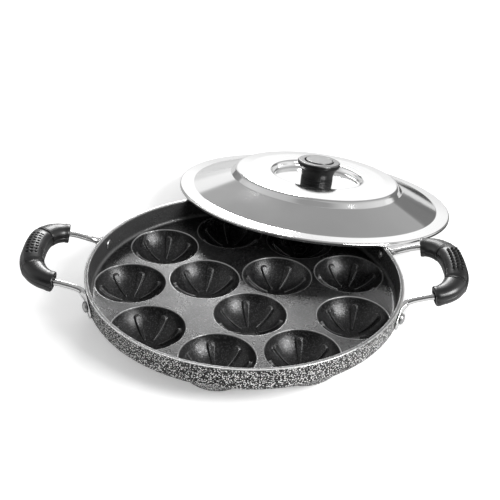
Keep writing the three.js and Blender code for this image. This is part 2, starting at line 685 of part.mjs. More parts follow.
// The pieces that hold the knob to the lid, all on the lid's axis
function knobFasteners() {
  const steel = () => finish(0xbfbfc2, 0.3, 0.9);
  const bore = KNOB_SCREW_RADIUS + CLEAR;
  const seat = ringGeometry(bore, WASHER_RADIUS, washerLow, washerLow + WASHER_THICKNESS, KNOB_SEGMENTS);
  const washerLower = screwWasherHigh - SCREW_WASHER_THICKNESS;
  const washer = ringGeometry(bore, SCREW_WASHER_RADIUS, washerLower, screwWasherHigh, RING_SEGMENTS);
  const insert = ringGeometry(bore, INSERT_RADIUS, knobLow, knobLow + INSERT_LENGTH, RING_SEGMENTS);
  const headHigh = washerLower - CLEAR;
  const headLow = headHigh - KNOB_SCREW_HEAD_HEIGHT;
  const profile = [
    ...dome(KNOB_SCREW_HEAD, (headHigh + headLow) / 2, headLow).reverse(),
    new THREE.Vector2(KNOB_SCREW_HEAD, headHigh),
    new THREE.Vector2(KNOB_SCREW_RADIUS, headHigh),
    new THREE.Vector2(KNOB_SCREW_RADIUS, knobLow + KNOB_SCREW_REACH),
    new THREE.Vector2(0, knobLow + KNOB_SCREW_REACH),
  ];
  return [
    makeMesh('knob_seat_washer', seat, steel()),
    makeMesh('knob_insert', insert, finish(0xb08d4a, 0.35, 0.9)),
    makeMesh('knob_screw', revolve(profile, KNOB_SCREW_SEGMENTS), steel()),
    makeMesh('knob_screw_washer', washer, steel()),
  ];
}

function lid() {
  const tilt = leanTilt();
  const leaning = new THREE.Group();
  leaning.add(lidShell(), knob(), knobCap(), ...knobFasteners());
  leaning.position.set(LEAN_OFFSET, 0, leanHeight(tilt));
  leaning.rotation.y = tilt;
  const turned = new THREE.Group();
  turned.rotation.z = rad(LEAN_AZIMUTH);
  turned.add(leaning);
  return turned;
}

const pan = new THREE.Group();
pan.name = 'paniyaram_pan';
pan.add(panBody());
pan.add(handle('right', 0, ['back', 'front']));
pan.add(handle('left', 180, ['front', 'back']));
pan.add(lid());

// The origin goes to the bottom centre of the whole object's box
const box = new THREE.Box3().setFromObject(pan, true);
const middle = box.getCenter(new THREE.Vector3());
pan.position.set(-middle.x, -middle.y, -box.min.z);

export default pan;
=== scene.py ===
# %% [markdown]
# # A paniyaram pan with its lid
# The pan is a coated aluminium dish with twelve small round cavities, two riveted handles
# with black grips, and a polished steel lid with a black knob that leans on the rim.
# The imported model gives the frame: every piece below is built in metres in its coordinates
# and rides on one of its two bodies, the pan or the lid.

# %% Load the frame
from math import acos, asin, atan2, cos, pi, radians, sin, sqrt, tan, tau

import bmesh
import bpy
import numpy as np
from mathutils import Matrix, Vector
from mathutils.geometry import delaunay_2d_cdt


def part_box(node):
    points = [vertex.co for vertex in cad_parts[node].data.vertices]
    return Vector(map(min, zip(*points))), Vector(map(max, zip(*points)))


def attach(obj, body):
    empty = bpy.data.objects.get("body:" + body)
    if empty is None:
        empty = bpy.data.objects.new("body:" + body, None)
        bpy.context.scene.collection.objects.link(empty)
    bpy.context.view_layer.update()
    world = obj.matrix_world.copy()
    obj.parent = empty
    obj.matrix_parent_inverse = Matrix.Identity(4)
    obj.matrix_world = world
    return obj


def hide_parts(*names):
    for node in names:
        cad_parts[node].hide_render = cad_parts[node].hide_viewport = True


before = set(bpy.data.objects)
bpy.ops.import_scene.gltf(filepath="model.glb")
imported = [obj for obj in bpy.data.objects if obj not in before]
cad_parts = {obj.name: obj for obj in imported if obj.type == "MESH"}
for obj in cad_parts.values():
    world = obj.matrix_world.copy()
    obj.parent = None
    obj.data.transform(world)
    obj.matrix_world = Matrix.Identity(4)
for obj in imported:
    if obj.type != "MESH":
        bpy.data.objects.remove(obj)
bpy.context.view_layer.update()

# %% [markdown]
# Sizes are easier to read in millimetres, so the shapes are worked out in millimetres round
# the axis of the pan, or round the axis of the lid, and moved into the frame at the end.
# The axis of the pan is the middle of its own box, and the lid leans with its far edge down.

# %% Places of the pan and of the leaning lid
MM = 0.001
UP = np.array((0.0, 0.0, 1.0))
pan_low, pan_high = np.array(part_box("pan_body"))
PAN_AXIS = (pan_low + pan_high) / 2 * (1, 1, 0)
LID_REACH, LID_HEIGHT = 157.0, 23.82
LID_AZIMUTH, LID_TILT = radians(67.7), radians(10.553)
lid_out = np.array((cos(LID_AZIMUTH), sin(LID_AZIMUTH), 0.0))
lid_axis = lid_out * sin(LID_TILT) + UP * cos(LID_TILT)
lid_far = lid_out * cos(LID_TILT) - UP * sin(LID_TILT)
LID_AXES = np.array((lid_far, np.cross(lid_axis, lid_far), lid_axis))
LID_CENTRE = PAN_AXIS + MM * (lid_out * LID_REACH + UP * LID_HEIGHT)


def on_pan(points):
    """Millimetres round the axis of the pan, as metres in the frame."""
    return np.asarray(points, float) * MM + PAN_AXIS


def on_lid(points):
    """Millimetres round the axis of the lid, as metres in the frame."""
    return (np.asarray(points, float) * MM) @ LID_AXES + LID_CENTRE


print("pan axis", PAN_AXIS.round(5), "lid centre", LID_CENTRE.round(5))

# %% [markdown]
# Most of these pieces are turned or swept, so a few small helpers make nearly everything.
# The rounding of a profile adds a point just outside each corner, which keeps the flat beside
# it flat when the shading is smooth.

# %% Helpers for lines and grids
HOLD, ROOM = 0.35, 0.45
norm = np.linalg.norm


def unit(vector):
    """The vector at length one."""
    return vector / norm(vector)


def ease(share):
    """A share from 0 to 1 with a soft start and end."""
    return share * share * (3 - 2 * share)


def on_circle(radius, angles):
    """Points at a radius and at angles, in two columns."""
    return np.c_[radius * np.cos(angles), radius * np.sin(angles)]


def rounded(corners, steps=5):
    """Points of a line through corners of (x, z, radius), with the corners rounded."""
    spots = [np.array(corner[:2], float) for corner in corners]
    line = [spots[0]]
    for before, here, after, (_, _, radius) in zip(spots, spots[1:], spots[2:], corners[1:]):
        if radius == 0:
            line.append(here)
            continue
        back, ahead = unit(before - here), unit(after - here)
        room = ROOM * min(norm(before - here), norm(after - here))
        half = acos(np.clip(back @ ahead, -1, 1)) / 2
        reach = min(radius / tan(half), room)
        hold = reach + HOLD * min(1, reach)
        centre = here + unit(back + ahead) * reach / cos(half)
        first, last = here + back * reach - centre, here + ahead * reach - centre
        turn = pi - 2 * half
        arc = [centre + (first * sin(turn * (1 - k)) + last * sin(turn * k)) / sin(turn)
               for k in np.linspace(0, 1, steps + 1)]
        line += [here + back * hold, *arc, here + ahead * hold]
    return [tuple(p) for p in line + [spots[-1]]]


def turned(profile, segments):
    """Points and faces of a profile of (radius, height), from its foot up the outside."""
    turns = np.arange(segments) * tau / segments
    points, rings, faces = [], [], []
    for radius, height in profile:
        count = 1 if radius < 1e-6 else segments
        rings.append([len(points) + i % count for i in range(segments)])
        points += [(x, y, height) for x, y in on_circle(radius, turns[:count])]
    for low, high in zip(rings, rings[1:]):
        for i in range(segments):
            j = (i + 1) % segments
            faces.append(tuple(dict.fromkeys((low[i], low[j], high[j], high[i]))))
    return np.array(points), faces


def grid_faces(rings, count):
    """Faces between closed rings that have the same number of points."""
    i = np.arange(count)
    j = (i + 1) % count
    firsts = range(0, (rings - 1) * count, count)
    return [tuple(f) for k in firsts for f in np.c_[k + i, k + j, k + count + j, k + count + i].tolist()]


# %% Helpers that make a piece and hand it over
def make_piece(name, points, faces, materials, face_slots=None):
    """A smooth object with its place in its mesh."""
    mesh = bpy.data.meshes.new(name)
    mesh.from_pydata([tuple(p) for p in points], [], faces)
    for material in materials:
        mesh.materials.append(material)
    if face_slots is not None:
        mesh.polygons.foreach_set("material_index", face_slots)
    mesh.shade_smooth()
    piece = bpy.data.objects.new(name, mesh)
    bpy.context.scene.collection.objects.link(piece)
    return piece


def close_up(piece, weld=0.00002):
    """Welds doubled points and turns every face outwards."""
    work = bmesh.new()
    work.from_mesh(piece.data)
    if weld:
        bmesh.ops.remove_doubles(work, verts=work.verts, dist=weld)
    bmesh.ops.recalc_face_normals(work, faces=work.faces)
    left_open = sum(len(edge.link_faces) != 2 for edge in work.edges)
    work.to_mesh(piece.data)
    work.free()
    piece.data.shade_smooth()
    print(f"{piece.name}: {left_open} open edges")
    return piece


def seat(piece, body, slot, *nodes):
    """Lets a finished piece ride on its body, in the place of its CAD nodes."""
    piece.data.name = piece.name
    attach(piece, body)
    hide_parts(*nodes)
    triangles = sum(len(p.vertices) - 2 for p in piece.data.polygons)
    print(f"{piece.name}: {triangles} triangles on {body}")


# %% [markdown]
# ## Finishes
# Every material is a Principled BSDF with a few nodes before it. What several finishes share
# is a node group: the fine fleck of metal in the coating and the paint, the turning marks on
# polished metal, and the fine grain of moulded plastic. A group only puts out values that
# change over the surface, and each material sets its own amounts.

# %% Helpers for node trees
SOCKET = bpy.types.NodeSocket


class Nodes:
    """A node tree and its last node, with inputs given as values or as sockets to link."""

    def __init__(self, tree, end):
        self.tree, self.end = tree, end

    def feed(self, node, inputs):
        """Sets or links inputs of a node."""
        for key, value in inputs.items():
            if isinstance(value, SOCKET):
                self.tree.links.new(value, node.inputs[key])
            else:
                node.inputs[key].default_value = value

    def set(self, **values):
        """Sets or links inputs of the last node."""
        self.feed(self.end, {key.replace("_", " "): value for key, value in values.items()})

    def add(self, kind, inputs=None, family="ShaderNode", **settings):
        """The outputs of a new node."""
        node = self.tree.nodes.new(family + kind)
        for key, value in settings.items():
            setattr(node, key, value)
        self.feed(node, inputs or {})
        return node.outputs

    def geometry(self, kind, inputs=None, **settings):
        """The outputs of a new geometry node."""
        return self.add(kind, inputs, "GeometryNode", **settings)

    def calc(self, operation, *values):
        """What a math node works out."""
        return self.add("Math", dict(enumerate(values)), operation=operation)[0]

    def times(self, first, second):
        """A product."""
        return self.calc("MULTIPLY", first, second)

    def vector(self, operation, *values):
        """What a vector math node works out."""
        made = self.add("VectorMath", dict(enumerate(values)), operation=operation)
        return made["Value" if operation in ("LENGTH", "DOT_PRODUCT") else "Vector"]

    def place(self):
        """The place of the shaded point in its object."""
        return self.add("TexCoord")["Object"]

    def split(self, vector):
        """X, Y and Z of a vector."""
        return self.add("SeparateXYZ", {0: vector})

    def ramp(self, value, low, high, low_out, high_out):
        """A value moved smoothly from one range to another."""
        ends = {"From Min": low, "From Max": high, "To Min": low_out, "To Max": high_out}
        return self.add("MapRange", {"Value": value, **ends}, interpolation_type="SMOOTHSTEP")["Result"]

    def mix(self, share, *tones):
        """A colour between two tones, each a grey, a triple or a socket."""
        first, second = (t if isinstance(t, SOCKET) else (*np.broadcast_to(t, 3), 1) for t in tones)
        return self.add("Mix", {"Factor": share, 6: first, 7: second}, data_type="RGBA")[2]


KINDS = {"Geometry": "Geometry", "Piece": "Object", "Finish": "Material", "Count": "Int", "Centred": "Vector"}


def new_group(name, kind, inputs, outputs):
    """A node group with sockets by their labels, most of them plain values, and what comes in."""
    tree = bpy.data.node_groups.new(name, kind + "NodeTree")
    for side, labels in (("INPUT", inputs), ("OUTPUT", outputs)):
        for label in labels.split(", "):
            socket = "NodeSocket" + KINDS.get(label, "Float")
            tree.interface.new_socket(name=label, in_out=side, socket_type=socket)
    start = tree.nodes.new("NodeGroupInput")
    return Nodes(tree, tree.nodes.new("NodeGroupOutput")), start.outputs


# %% [markdown]
# The fleck group breaks the surface into small cells and gives each its own brightness.
# The share says how many of the cells catch the light, and the cloud is a slower change
# that keeps the flecks from looking even.

# %% The fleck, turning-mark and grain groups
fleck, start = new_group("fleck", "Shader", "Size, Share", "Fleck, Cloud, Height")
where = fleck.place()
per_metre = fleck.calc("DIVIDE", 1.0, start["Size"])
cells = fleck.add("TexVoronoi", {"Vector": where, "Scale": per_metre, "Randomness": 1.0})
chance = fleck.add("SeparateColor", {"Color": cells["Color"]})[0]
dark_share = fleck.calc("SUBTRACT", 1.0, start["Share"])
lit = fleck.add("MapRange", {"Value": chance, "From Min": dark_share})
cloud = fleck.add("TexNoise", {"Vector": where, "Scale": 55.0, "Detail": 3.0})
fleck.set(Fleck=lit["Result"], Cloud=cloud["Fac"], Height=cells["Distance"])

turning, start = new_group("turning_marks", "Shader", "Centred, Fineness", "Mark, Smudge")
level_part = turning.vector("MULTIPLY", start["Centred"], (1.0, 1.0, 0.0))
from_axis = turning.times(turning.vector("LENGTH", level_part), start["Fineness"])
fine = {"W": from_axis, "Scale": 1.0, "Detail": 4.0, "Roughness": 0.7}
lines = turning.add("TexNoise", fine, noise_dimensions="1D")
slow = {"Vector": start["Centred"], "Scale": 28.0, "Detail": 5.0, "Roughness": 0.6}
smudge = turning.add("TexNoise", slow)
turning.set(Mark=lines["Fac"], Smudge=smudge["Fac"])

moulding, start = new_group("moulded_grain", "Shader", "Size", "Grain, Cloud")
where = moulding.place()
per_metre = moulding.calc("DIVIDE", 1.0, start["Size"])
fine = moulding.add("TexNoise", {"Vector": where, "Scale": per_metre, "Detail": 2.0})
slow = moulding.add("TexNoise", {"Vector": where, "Scale": 90.0, "Detail": 4.0})
moulding.set(Grain=fine["Fac"], Cloud=slow["Fac"])
print("node groups:", [group.tree.name for group in (fleck, turning, moulding)])


# %% The material helper
class Finish(Nodes):
    """A material with the values that are the same all over its surface."""

    def __init__(self, name, **values):
        self.material = bpy.data.materials.new(name)
        self.material.use_nodes = True
        tree = self.material.node_tree
        super().__init__(tree, tree.nodes["Principled BSDF"])
        self.set(**values)

    def group(self, group, **values):
        """The outputs of a node group, placed with its own values."""
        return self.add("Group", values, node_tree=group.tree)

    def attribute(self, name):
        """A value that is stored on the points of the mesh."""
        return self.add("Attribute", attribute_name=name)["Fac"]

    def rough(self, cloud, low, high):
        """A roughness that changes slowly over the surface."""
        return self.ramp(cloud, 0.3, 0.7, low, high)

    def bump(self, height, strength, distance):
        """Fine relief on the normal."""
        inputs = {"Strength": strength, "Distance": distance, "Height": height}
        self.set(Normal=self.add("Bump", inputs)["Normal"])

    def dress(self, marks, tones, rough, bump=None):
        """Tone, roughness and relief, each led by one output of a group."""
        self.set(Base_Color=self.mix(marks[tones[0]], *tones[1:]),
                 Roughness=self.rough(marks[rough[0]], *rough[1:]))
        if bump:
            self.bump(marks[bump[0]], *bump[1:])
        return self.material


# %% [markdown]
# The inside of the pan is a black non-stick coating with metal flake in it, satin rather
# than shiny, so it turns grey where it mirrors the bright back of the room. Where the mesh
# marks it, on the lips of the cavities and the edges of the ribs, the coating is lighter and
# metallic: partly wear where the metal shows through, partly a painted highlight along these
# edges. The outside is a speckled hammer paint, black and light grey in grains of about a
# millimetre. The rim between the two is bare metal, ground flat after coating.

# %% Finishes of the pan
BLACK = (0.004, 0.004, 0.0042)
look = Finish("nonstick_coating", IOR=1.44)
nonstick = look.material
flecks = look.group(fleck, Size=0.0007, Share=0.35)
# Wear and painted highlight: where the mesh marks it, the coating turns lighter and metallic.
worn = look.attribute("worn")
coat = look.mix(flecks["Fleck"], BLACK, (0.08, 0.08, 0.082))
flake = look.ramp(flecks["Fleck"], 0.0, 1.0, 0.0, 0.8)
look.set(Base_Color=look.mix(look.times(worn, 0.85), coat, 0.55),
         Roughness=look.rough(flecks["Cloud"], 0.25, 0.32),
         Metallic=look.calc("MAXIMUM", flake, look.calc("POWER", worn, 2.0)))
look.bump(flecks["Height"], 0.5, 0.00012)

look = Finish("hammer_paint", IOR=1.33)
hammer = look.material
grains = look.group(fleck, Size=0.0011, Share=0.9)
dots = look.times(look.ramp(grains["Height"], 0.36, 0.41, 1.0, 0.0),
                 look.ramp(grains["Fleck"], 0.0, 0.4, 0.4, 1.0))
salt = look.times(look.group(fleck, Size=0.0007, Share=0.5)["Fleck"], 0.1)
speckle = look.calc("MINIMUM", look.calc("ADD", dots, salt), 1.0)
look.set(Base_Color=look.mix(speckle, BLACK, (0.9, 0.9, 0.89)),
         Roughness=look.rough(grains["Cloud"], 0.34, 0.46),
         Metallic=look.ramp(speckle, 0.0, 1.0, 0.0, 0.2))
look.bump(grains["Height"], 0.45, 0.0003)

look = Finish("bare_rim", Metallic=1.0)
centred = look.vector("SUBTRACT", look.place(), tuple(PAN_AXIS))
marks = look.group(turning, Centred=centred, Fineness=4000.0)
rim_metal = look.dress(marks, ("Mark", 0.55, (0.76, 0.76, 0.75)), ("Smudge", 0.22, 0.36))
print("pan finishes:", nonstick.name, hammer.name, rim_metal.name)

# %% [markdown]
# ## The cavities
# Each cavity is part of a sphere with a small rounded lip and seven raised ribs that are
# broad at the top and narrow at the foot. A Boolean would leave sharp, uneven joints, so one
# cavity is written as a grid of rings and spokes instead, and the ribs lift the grid towards
# the middle of the sphere. Rings and spokes crowd together where the ribs have their edges.

# %% Sizes of the dish and its cavities
RIM_HEIGHT = pan_high[2] / MM
RIM_RADIUS = (pan_high[0] - pan_low[0]) / 2 / MM
SHEET, WALL_DEPTH, DRAFT = 3.0, 16.1, radians(3.0)
CORNER, RIM_ROUND, LIP = 3.0, 0.7, 0.8
DECK = RIM_HEIGHT - WALL_DEPTH
SPHERE, RISE = 28.1, 11.1
LIP_X = sqrt((SPHERE + LIP) ** 2 - (RISE + LIP) ** 2)
CAVITY_EDGE = LIP_X + 0.3
OUTER_RING, INNER_RING = 83.4, 31.4
OUTER_TURN, INNER_TURN = radians(178.4), radians(38.4)
inner_foot = RIM_RADIUS - tan(DRAFT) * WALL_DEPTH - SHEET / cos(DRAFT)
CORNER_X = inner_foot - CORNER / cos(DRAFT) + tan(DRAFT) * CORNER


def deck_height(radius):
    """Height of the inside of the dish at a radius: flat, then the corner below the wall."""
    over = np.clip(np.asarray(radius, float) - CORNER_X, 0, CORNER)
    return DECK + CORNER - np.sqrt(CORNER ** 2 - over ** 2)


print("deck at", round(DECK, 2), "corner at", round(CORNER_X, 2), "lip at", round(LIP_X, 2))

# %% The shape of a rib
RIB_COUNT, RIB_HEIGHT = 7, 2.0
RIB_TOP, RIB_FOOT = 2.5, 0.75
RIB_HIGH, RIB_LOW = asin(23.2 / SPHERE), asin(6.5 / SPHERE)
RIB_LENGTH = SPHERE * (RIB_HIGH - RIB_LOW) - RIB_TOP - RIB_FOOT
RIB_EDGE, RIB_SLOPE, FOOT_SHARE = 0.15, 0.5, 0.6


def rib_share(climb, aside):
    """How far a point is on a rib (0 to 1) and how high the rib is there (0 to 1)."""
    along = SPHERE * climb - (SPHERE * RIB_LOW + RIB_FOOT)
    across = np.abs(SPHERE * np.sin(climb) * aside)
    lean = (RIB_FOOT - RIB_TOP) / RIB_LENGTH
    side = sqrt(1 - lean ** 2)
    reach = -lean * across + side * along
    flank = side * across + lean * along - RIB_FOOT
    foot = np.hypot(across, along) - RIB_FOOT
    top = np.hypot(across, along - RIB_LENGTH) - RIB_TOP
    outside = np.where(reach < 0, foot, np.where(reach > side * RIB_LENGTH, top, flank))
    full = np.interp(along / RIB_LENGTH, (0, 1), (FOOT_SHARE, 1.0))
    return np.clip((RIB_EDGE - outside) / RIB_SLOPE, 0, 1), full


def rib_lift(climb, aside):
    """Lift of a rib at an angle up the sphere and a turn to the side of the rib's middle."""
    share, full = rib_share(climb, aside)
    return RIB_HEIGHT * full * ease(share)


print("a rib is", round(RIB_LENGTH + RIB_TOP + RIB_FOOT, 1), "mm long")

# %% One cavity as a grid
half_sector = [0, 3.0, 4.4, 4.95, 5.4, 5.85, 6.3, 6.8, 7.5, 9.2, 13.0, 18.5]
sector = [-a for a in half_sector[:0:-1]] + half_sector + [180 / RIB_COUNT]
ASIDE = np.radians(np.tile(sector, RIB_COUNT))
SPOKES = ASIDE + np.radians(np.repeat(np.arange(RIB_COUNT) * 360 / RIB_COUNT, len(sector)))
CLIMB = np.radians([64.3, 61, 57.8, 56.8, 56.2, 55.7, 55.2, 54.6, 53.4, 51.5, 48, 43.5, 39, 34, 29, 24,
                    19.5, 16.6, 15.0, 14.2, 13.6, 13.0, 12.2, 10.5, 8, 4])
# How much the lip rings and the rib edges are lightened: partly wear, partly a painted highlight.
LIP_WEAR_AND_HIGHLIGHT = (0.0, 0.25, 0.8, 1.0, 0.8, 0.4, 0.1)
RIB_WEAR_AND_HIGHLIGHT, WEAR_AND_HIGHLIGHT_AT, WEAR_AND_HIGHLIGHT_REACH, BENT_FROM = 0.4, 0.7, 0.28, 24.0


def cavity_grid(ring, rib_turn):
    """Points and faces of one cavity round its own axis, at its height on the dish."""
    rings = [(CAVITY_EDGE, 0.0)]
    for turn in np.linspace(pi / 2, atan2(RISE + LIP, -LIP_X), len(LIP_WEAR_AND_HIGHLIGHT) - 1):
        rings.append((LIP_X + LIP * cos(turn), LIP * (sin(turn) - 1)))
    for climb in CLIMB:
        radius = SPHERE - rib_lift(climb, ASIDE)
        rings.append((radius * sin(climb), RISE - radius * cos(climb)))
    count = len(SPOKES)
    points = [np.c_[on_circle(reach, SPOKES + rib_turn), np.zeros(count) + height] for reach, height in rings]
    points = np.concatenate(points + [np.array([(0.0, 0.0, RISE - SPHERE)])])
    away = np.hypot(points[:, 0], points[:, 1])
    edge_share = np.clip((away - BENT_FROM) / (CAVITY_EDGE - BENT_FROM), 0, 1)
    lifted = deck_height(np.hypot(points[:, 0] + ring, points[:, 1]))
    points[:, 2] += DECK + (lifted - DECK) * edge_share ** 2
    last = (len(rings) - 1) * count
    tip = [(last + i, last + (i + 1) % count, len(points) - 1) for i in range(count)]
    return points, grid_faces(len(rings), count) + tip


def make_cavity(name, ring, rib_turn):
    """A cavity with its lip and the edges of its ribs marked to be lighter: partly wear, partly a painted
    highlight.
    """
    cavity = make_piece(name, *cavity_grid(ring, rib_turn), [nonstick])
    lightened_rings = [np.full(len(SPOKES), share) for share in LIP_WEAR_AND_HIGHLIGHT]
    for climb in CLIMB:
        off_edge = np.abs(rib_share(climb, ASIDE)[0] - WEAR_AND_HIGHLIGHT_AT)
        lightened_rings.append(RIB_WEAR_AND_HIGHLIGHT * np.clip(1 - off_edge / WEAR_AND_HIGHLIGHT_REACH, 0, 1))
    lightened_share = np.append(np.concatenate(lightened_rings), 0.0)
    cavity.data.attributes.new("worn", "FLOAT", "POINT").data.foreach_set("value", lightened_share)
    return cavity


outer_cavity = make_cavity("outer_cavity", OUTER_RING, 0.0)
inner_cavity = make_cavity("inner_cavity", 0.0, pi)
print("one cavity has", len(outer_cavity.data.polygons), "faces")

# %% [markdown]
# ## The dish
# The rest of the pan is the deck between the cavities, the wall, the rim and the underside
# with the round bowls of the cavities. The deck is flat with twelve holes, which a Delaunay
# triangulation fills between the lips and the foot of the wall. The wall, rim and underside
# are one turned profile, and a smooth minimum of heights lets the bowls swell out of it.

# %% The deck between the cavities
ROUND = 360
round_turns = np.arange(ROUND) * tau / ROUND
outer_angles = OUTER_TURN + np.radians(40 * np.arange(9))
inner_angles = INNER_TURN + np.radians(120 * np.arange(3))
CENTRES = np.concatenate([on_circle(OUTER_RING, outer_angles), on_circle(INNER_RING, inner_angles)])
rib_turns = np.r_[outer_angles, inner_angles + pi]
corner_turns = np.linspace(-pi / 2, -DRAFT, 7)
corner_rings = on_circle(CORNER, corner_turns) + (CORNER_X, DECK + CORNER)

loops = [centre + on_circle(CAVITY_EDGE, SPOKES + turn) for centre, turn in zip(CENTRES, rib_turns)]
loops.append(on_circle(corner_rings[-1][0], round_turns))
flat_edges, first = [], 0
for loop in loops:
    flat_edges += [(first + i, first + (i + 1) % len(loop)) for i in range(len(loop))]
    first += len(loop)
for radius, _ in corner_rings[:-1]:
    spots = on_circle(radius, round_turns)
    clear = norm(spots[:, None] - CENTRES, axis=2).min(axis=1) > CAVITY_EDGE + 0.3
    loops.append(spots[clear])
cut = delaunay_2d_cdt([Vector(p) for p in np.concatenate(loops)], flat_edges, [], 0, 1e-6)
deck_points = np.array([tuple(p) for p in cut[0]])
on_ring = np.abs(norm(deck_points[:, None] - CENTRES, axis=2) - CAVITY_EDGE) < 1e-3
deck_faces = [tuple(face) for face in cut[2] if not on_ring[list(face)].all(axis=0).any()]
deck_points = np.c_[deck_points, deck_height(np.hypot(deck_points[:, 0], deck_points[:, 1]))]
print("deck:", len(deck_points), "points", len(deck_faces), "faces")

# %% The wall, the rim and the underside
BARE, OUTER_CORNER, BOWL = 0.9, CORNER + SHEET, SPHERE + SHEET
BOWL_BLEND, SHELL_BLEND, NO_BOWL = 1.5, 2.0, 1e3
rim_inner = RIM_RADIUS - SHEET / cos(DRAFT)
outer_arc = on_circle(OUTER_CORNER, np.linspace(-DRAFT, -pi / 2, 11)) + (CORNER_X, DECK + CORNER)
wall_line = rounded([(*corner_rings[-1], 0), (rim_inner, RIM_HEIGHT, RIM_ROUND),
                     (RIM_RADIUS - BARE, RIM_HEIGHT, 0), (RIM_RADIUS, RIM_HEIGHT, RIM_ROUND),
                     (*outer_arc[0], 0)], steps=4)
under_radii = np.r_[np.arange(CORNER_X - 0.8, 86, -1.2), np.arange(86, 1.5, -2.6), 0.0]
shell_line = wall_line + list(outer_arc[1:]) + [(radius, DECK - SHEET) for radius in under_radii]
shell_points, shell_faces = turned(shell_line[::-1], ROUND)


def smooth_min(first, second, reach):
    """The lesser of two heights, with a soft change from one to the other."""
    soft = np.clip(0.5 + 0.5 * (first - second) / reach, 0, 1)
    return first * (1 - soft) + second * soft - reach * soft * (1 - soft)


ground = np.full(len(shell_points), NO_BOWL)
for centre in CENTRES:
    away = norm(shell_points[:, :2] - centre, axis=1)
    dip = DECK + RISE - np.sqrt(np.clip(BOWL ** 2 - away ** 2, 0, None))
    dip = np.where(away < BOWL - 0.5, np.maximum(dip, 0.0), NO_BOWL)
    ground = np.where(ground > 900, dip, smooth_min(dip, ground, BOWL_BLEND))
heights = shell_points[:, 2]
on_wall = np.arange(len(shell_points)) >= len(shell_points) - ROUND * len(wall_line)
swelling = (heights < DECK + CORNER) & ~on_wall & (ground < 900)
joined = np.maximum(smooth_min(ground, heights, SHELL_BLEND), 0.0)
shell_points[:, 2] = np.where(swelling, joined, heights)
print("underside reaches", round(float(shell_points[:, 2].min()), 3), "mm over the table")

# %% [markdown]
# Geometry Nodes set the cavities in their two rings. The tree takes the dish, instances a
# cavity on the points of a circle, turns each copy outwards, and welds everything together,
# so the pan ends as one closed mesh with its three finishes.

# %% The tree that sets a ring of pieces
def copies_of(nodes, piece, points, euler, **more):
    """Copies of an object on points, each with its own turn."""
    source = nodes.geometry("ObjectInfo", {"Object": piece})["Geometry"]
    turn = nodes.add("EulerToRotation", {0: euler}, "FunctionNode")[0]
    inputs = {"Points": points, "Instance": source, "Rotation": turn, **more}
    return nodes.geometry("InstanceOnPoints", inputs)["Instances"]


def realise(nodes, shape, finish):
    """Real geometry in one finish."""
    real = nodes.geometry("RealizeInstances", {"Geometry": shape})["Geometry"]
    return nodes.geometry("SetMaterial", {"Geometry": real, "Material": finish})["Geometry"]


rings, start = new_group("ring_of_pieces", "Geometry",
                         "Geometry, Piece, Count, Ring Radius, First Turn, Finish, Weld", "Geometry")
circle = rings.geometry("MeshCircle", {"Vertices": start["Count"], "Radius": start["Ring Radius"]})
step = rings.calc("DIVIDE", tau, start["Count"])
index = rings.geometry("InputIndex")["Index"]
aim = rings.add("CombineXYZ", {"Z": rings.times(index, step)})["Vector"]
copies = copies_of(rings, start["Piece"], circle["Mesh"], aim)
whole_turn = rings.add("CombineXYZ", {"Z": start["First Turn"]})
swung = rings.geometry("Transform", {"Geometry": copies, "Rotation": whole_turn["Vector"]})
together = rings.tree.nodes.new("GeometryNodeJoinGeometry")
for shape in (realise(rings, swung["Geometry"], start["Finish"]), start["Geometry"]):
    rings.feed(together, {"Geometry": shape})
welded = rings.geometry("MergeByDistance",
                   {"Geometry": together.outputs["Geometry"], "Distance": start["Weld"]})
rings.set(Geometry=welded["Geometry"])


def set_tree(piece, nodes, **values):
    """Adds a Geometry Nodes modifier with its inputs set by identifier."""
    modifier = piece.modifiers.new(nodes.tree.name, "NODES")
    modifier.node_group = nodes.tree
    for item in nodes.tree.interface.items_tree:
        label = item.name.replace(" ", "_")
        if item.in_out == "INPUT" and label in values:
            modifier[item.identifier] = values[label]


def apply_trees(piece):
    """Turns what the modifiers make into the piece's own plain mesh."""
    bpy.context.view_layer.update()
    evaluated = piece.evaluated_get(bpy.context.evaluated_depsgraph_get())
    made, old = bpy.data.meshes.new_from_object(evaluated), piece.data
    piece.modifiers.clear()
    piece.data = made
    bpy.data.meshes.remove(old)


print("ring tree nodes:", len(rings.tree.nodes))

# %% The whole pan
dish_points = np.concatenate([deck_points, shell_points])
dish_faces = deck_faces + [tuple(v + len(deck_points) for v in f) for f in shell_faces]
INSIDE, BARE_RIM, OUTSIDE = range(3)
slots = [INSIDE] * len(deck_faces)
for face in shell_faces:
    x, y, height = shell_points[list(face)].mean(axis=0)
    radius = np.hypot(x, y)
    wall_middle = RIM_RADIUS - SHEET / 2 - tan(DRAFT) * (RIM_HEIGHT - height)
    if height > RIM_HEIGHT - 0.45 * RIM_ROUND and radius > RIM_RADIUS - BARE - 0.02:
        slots.append(BARE_RIM)
    else:
        slots.append(INSIDE if height > DECK + CORNER - 0.4 and radius < wall_middle else OUTSIDE)
pan = make_piece("pan", dish_points, dish_faces, [nonstick, rim_metal, hammer], slots)
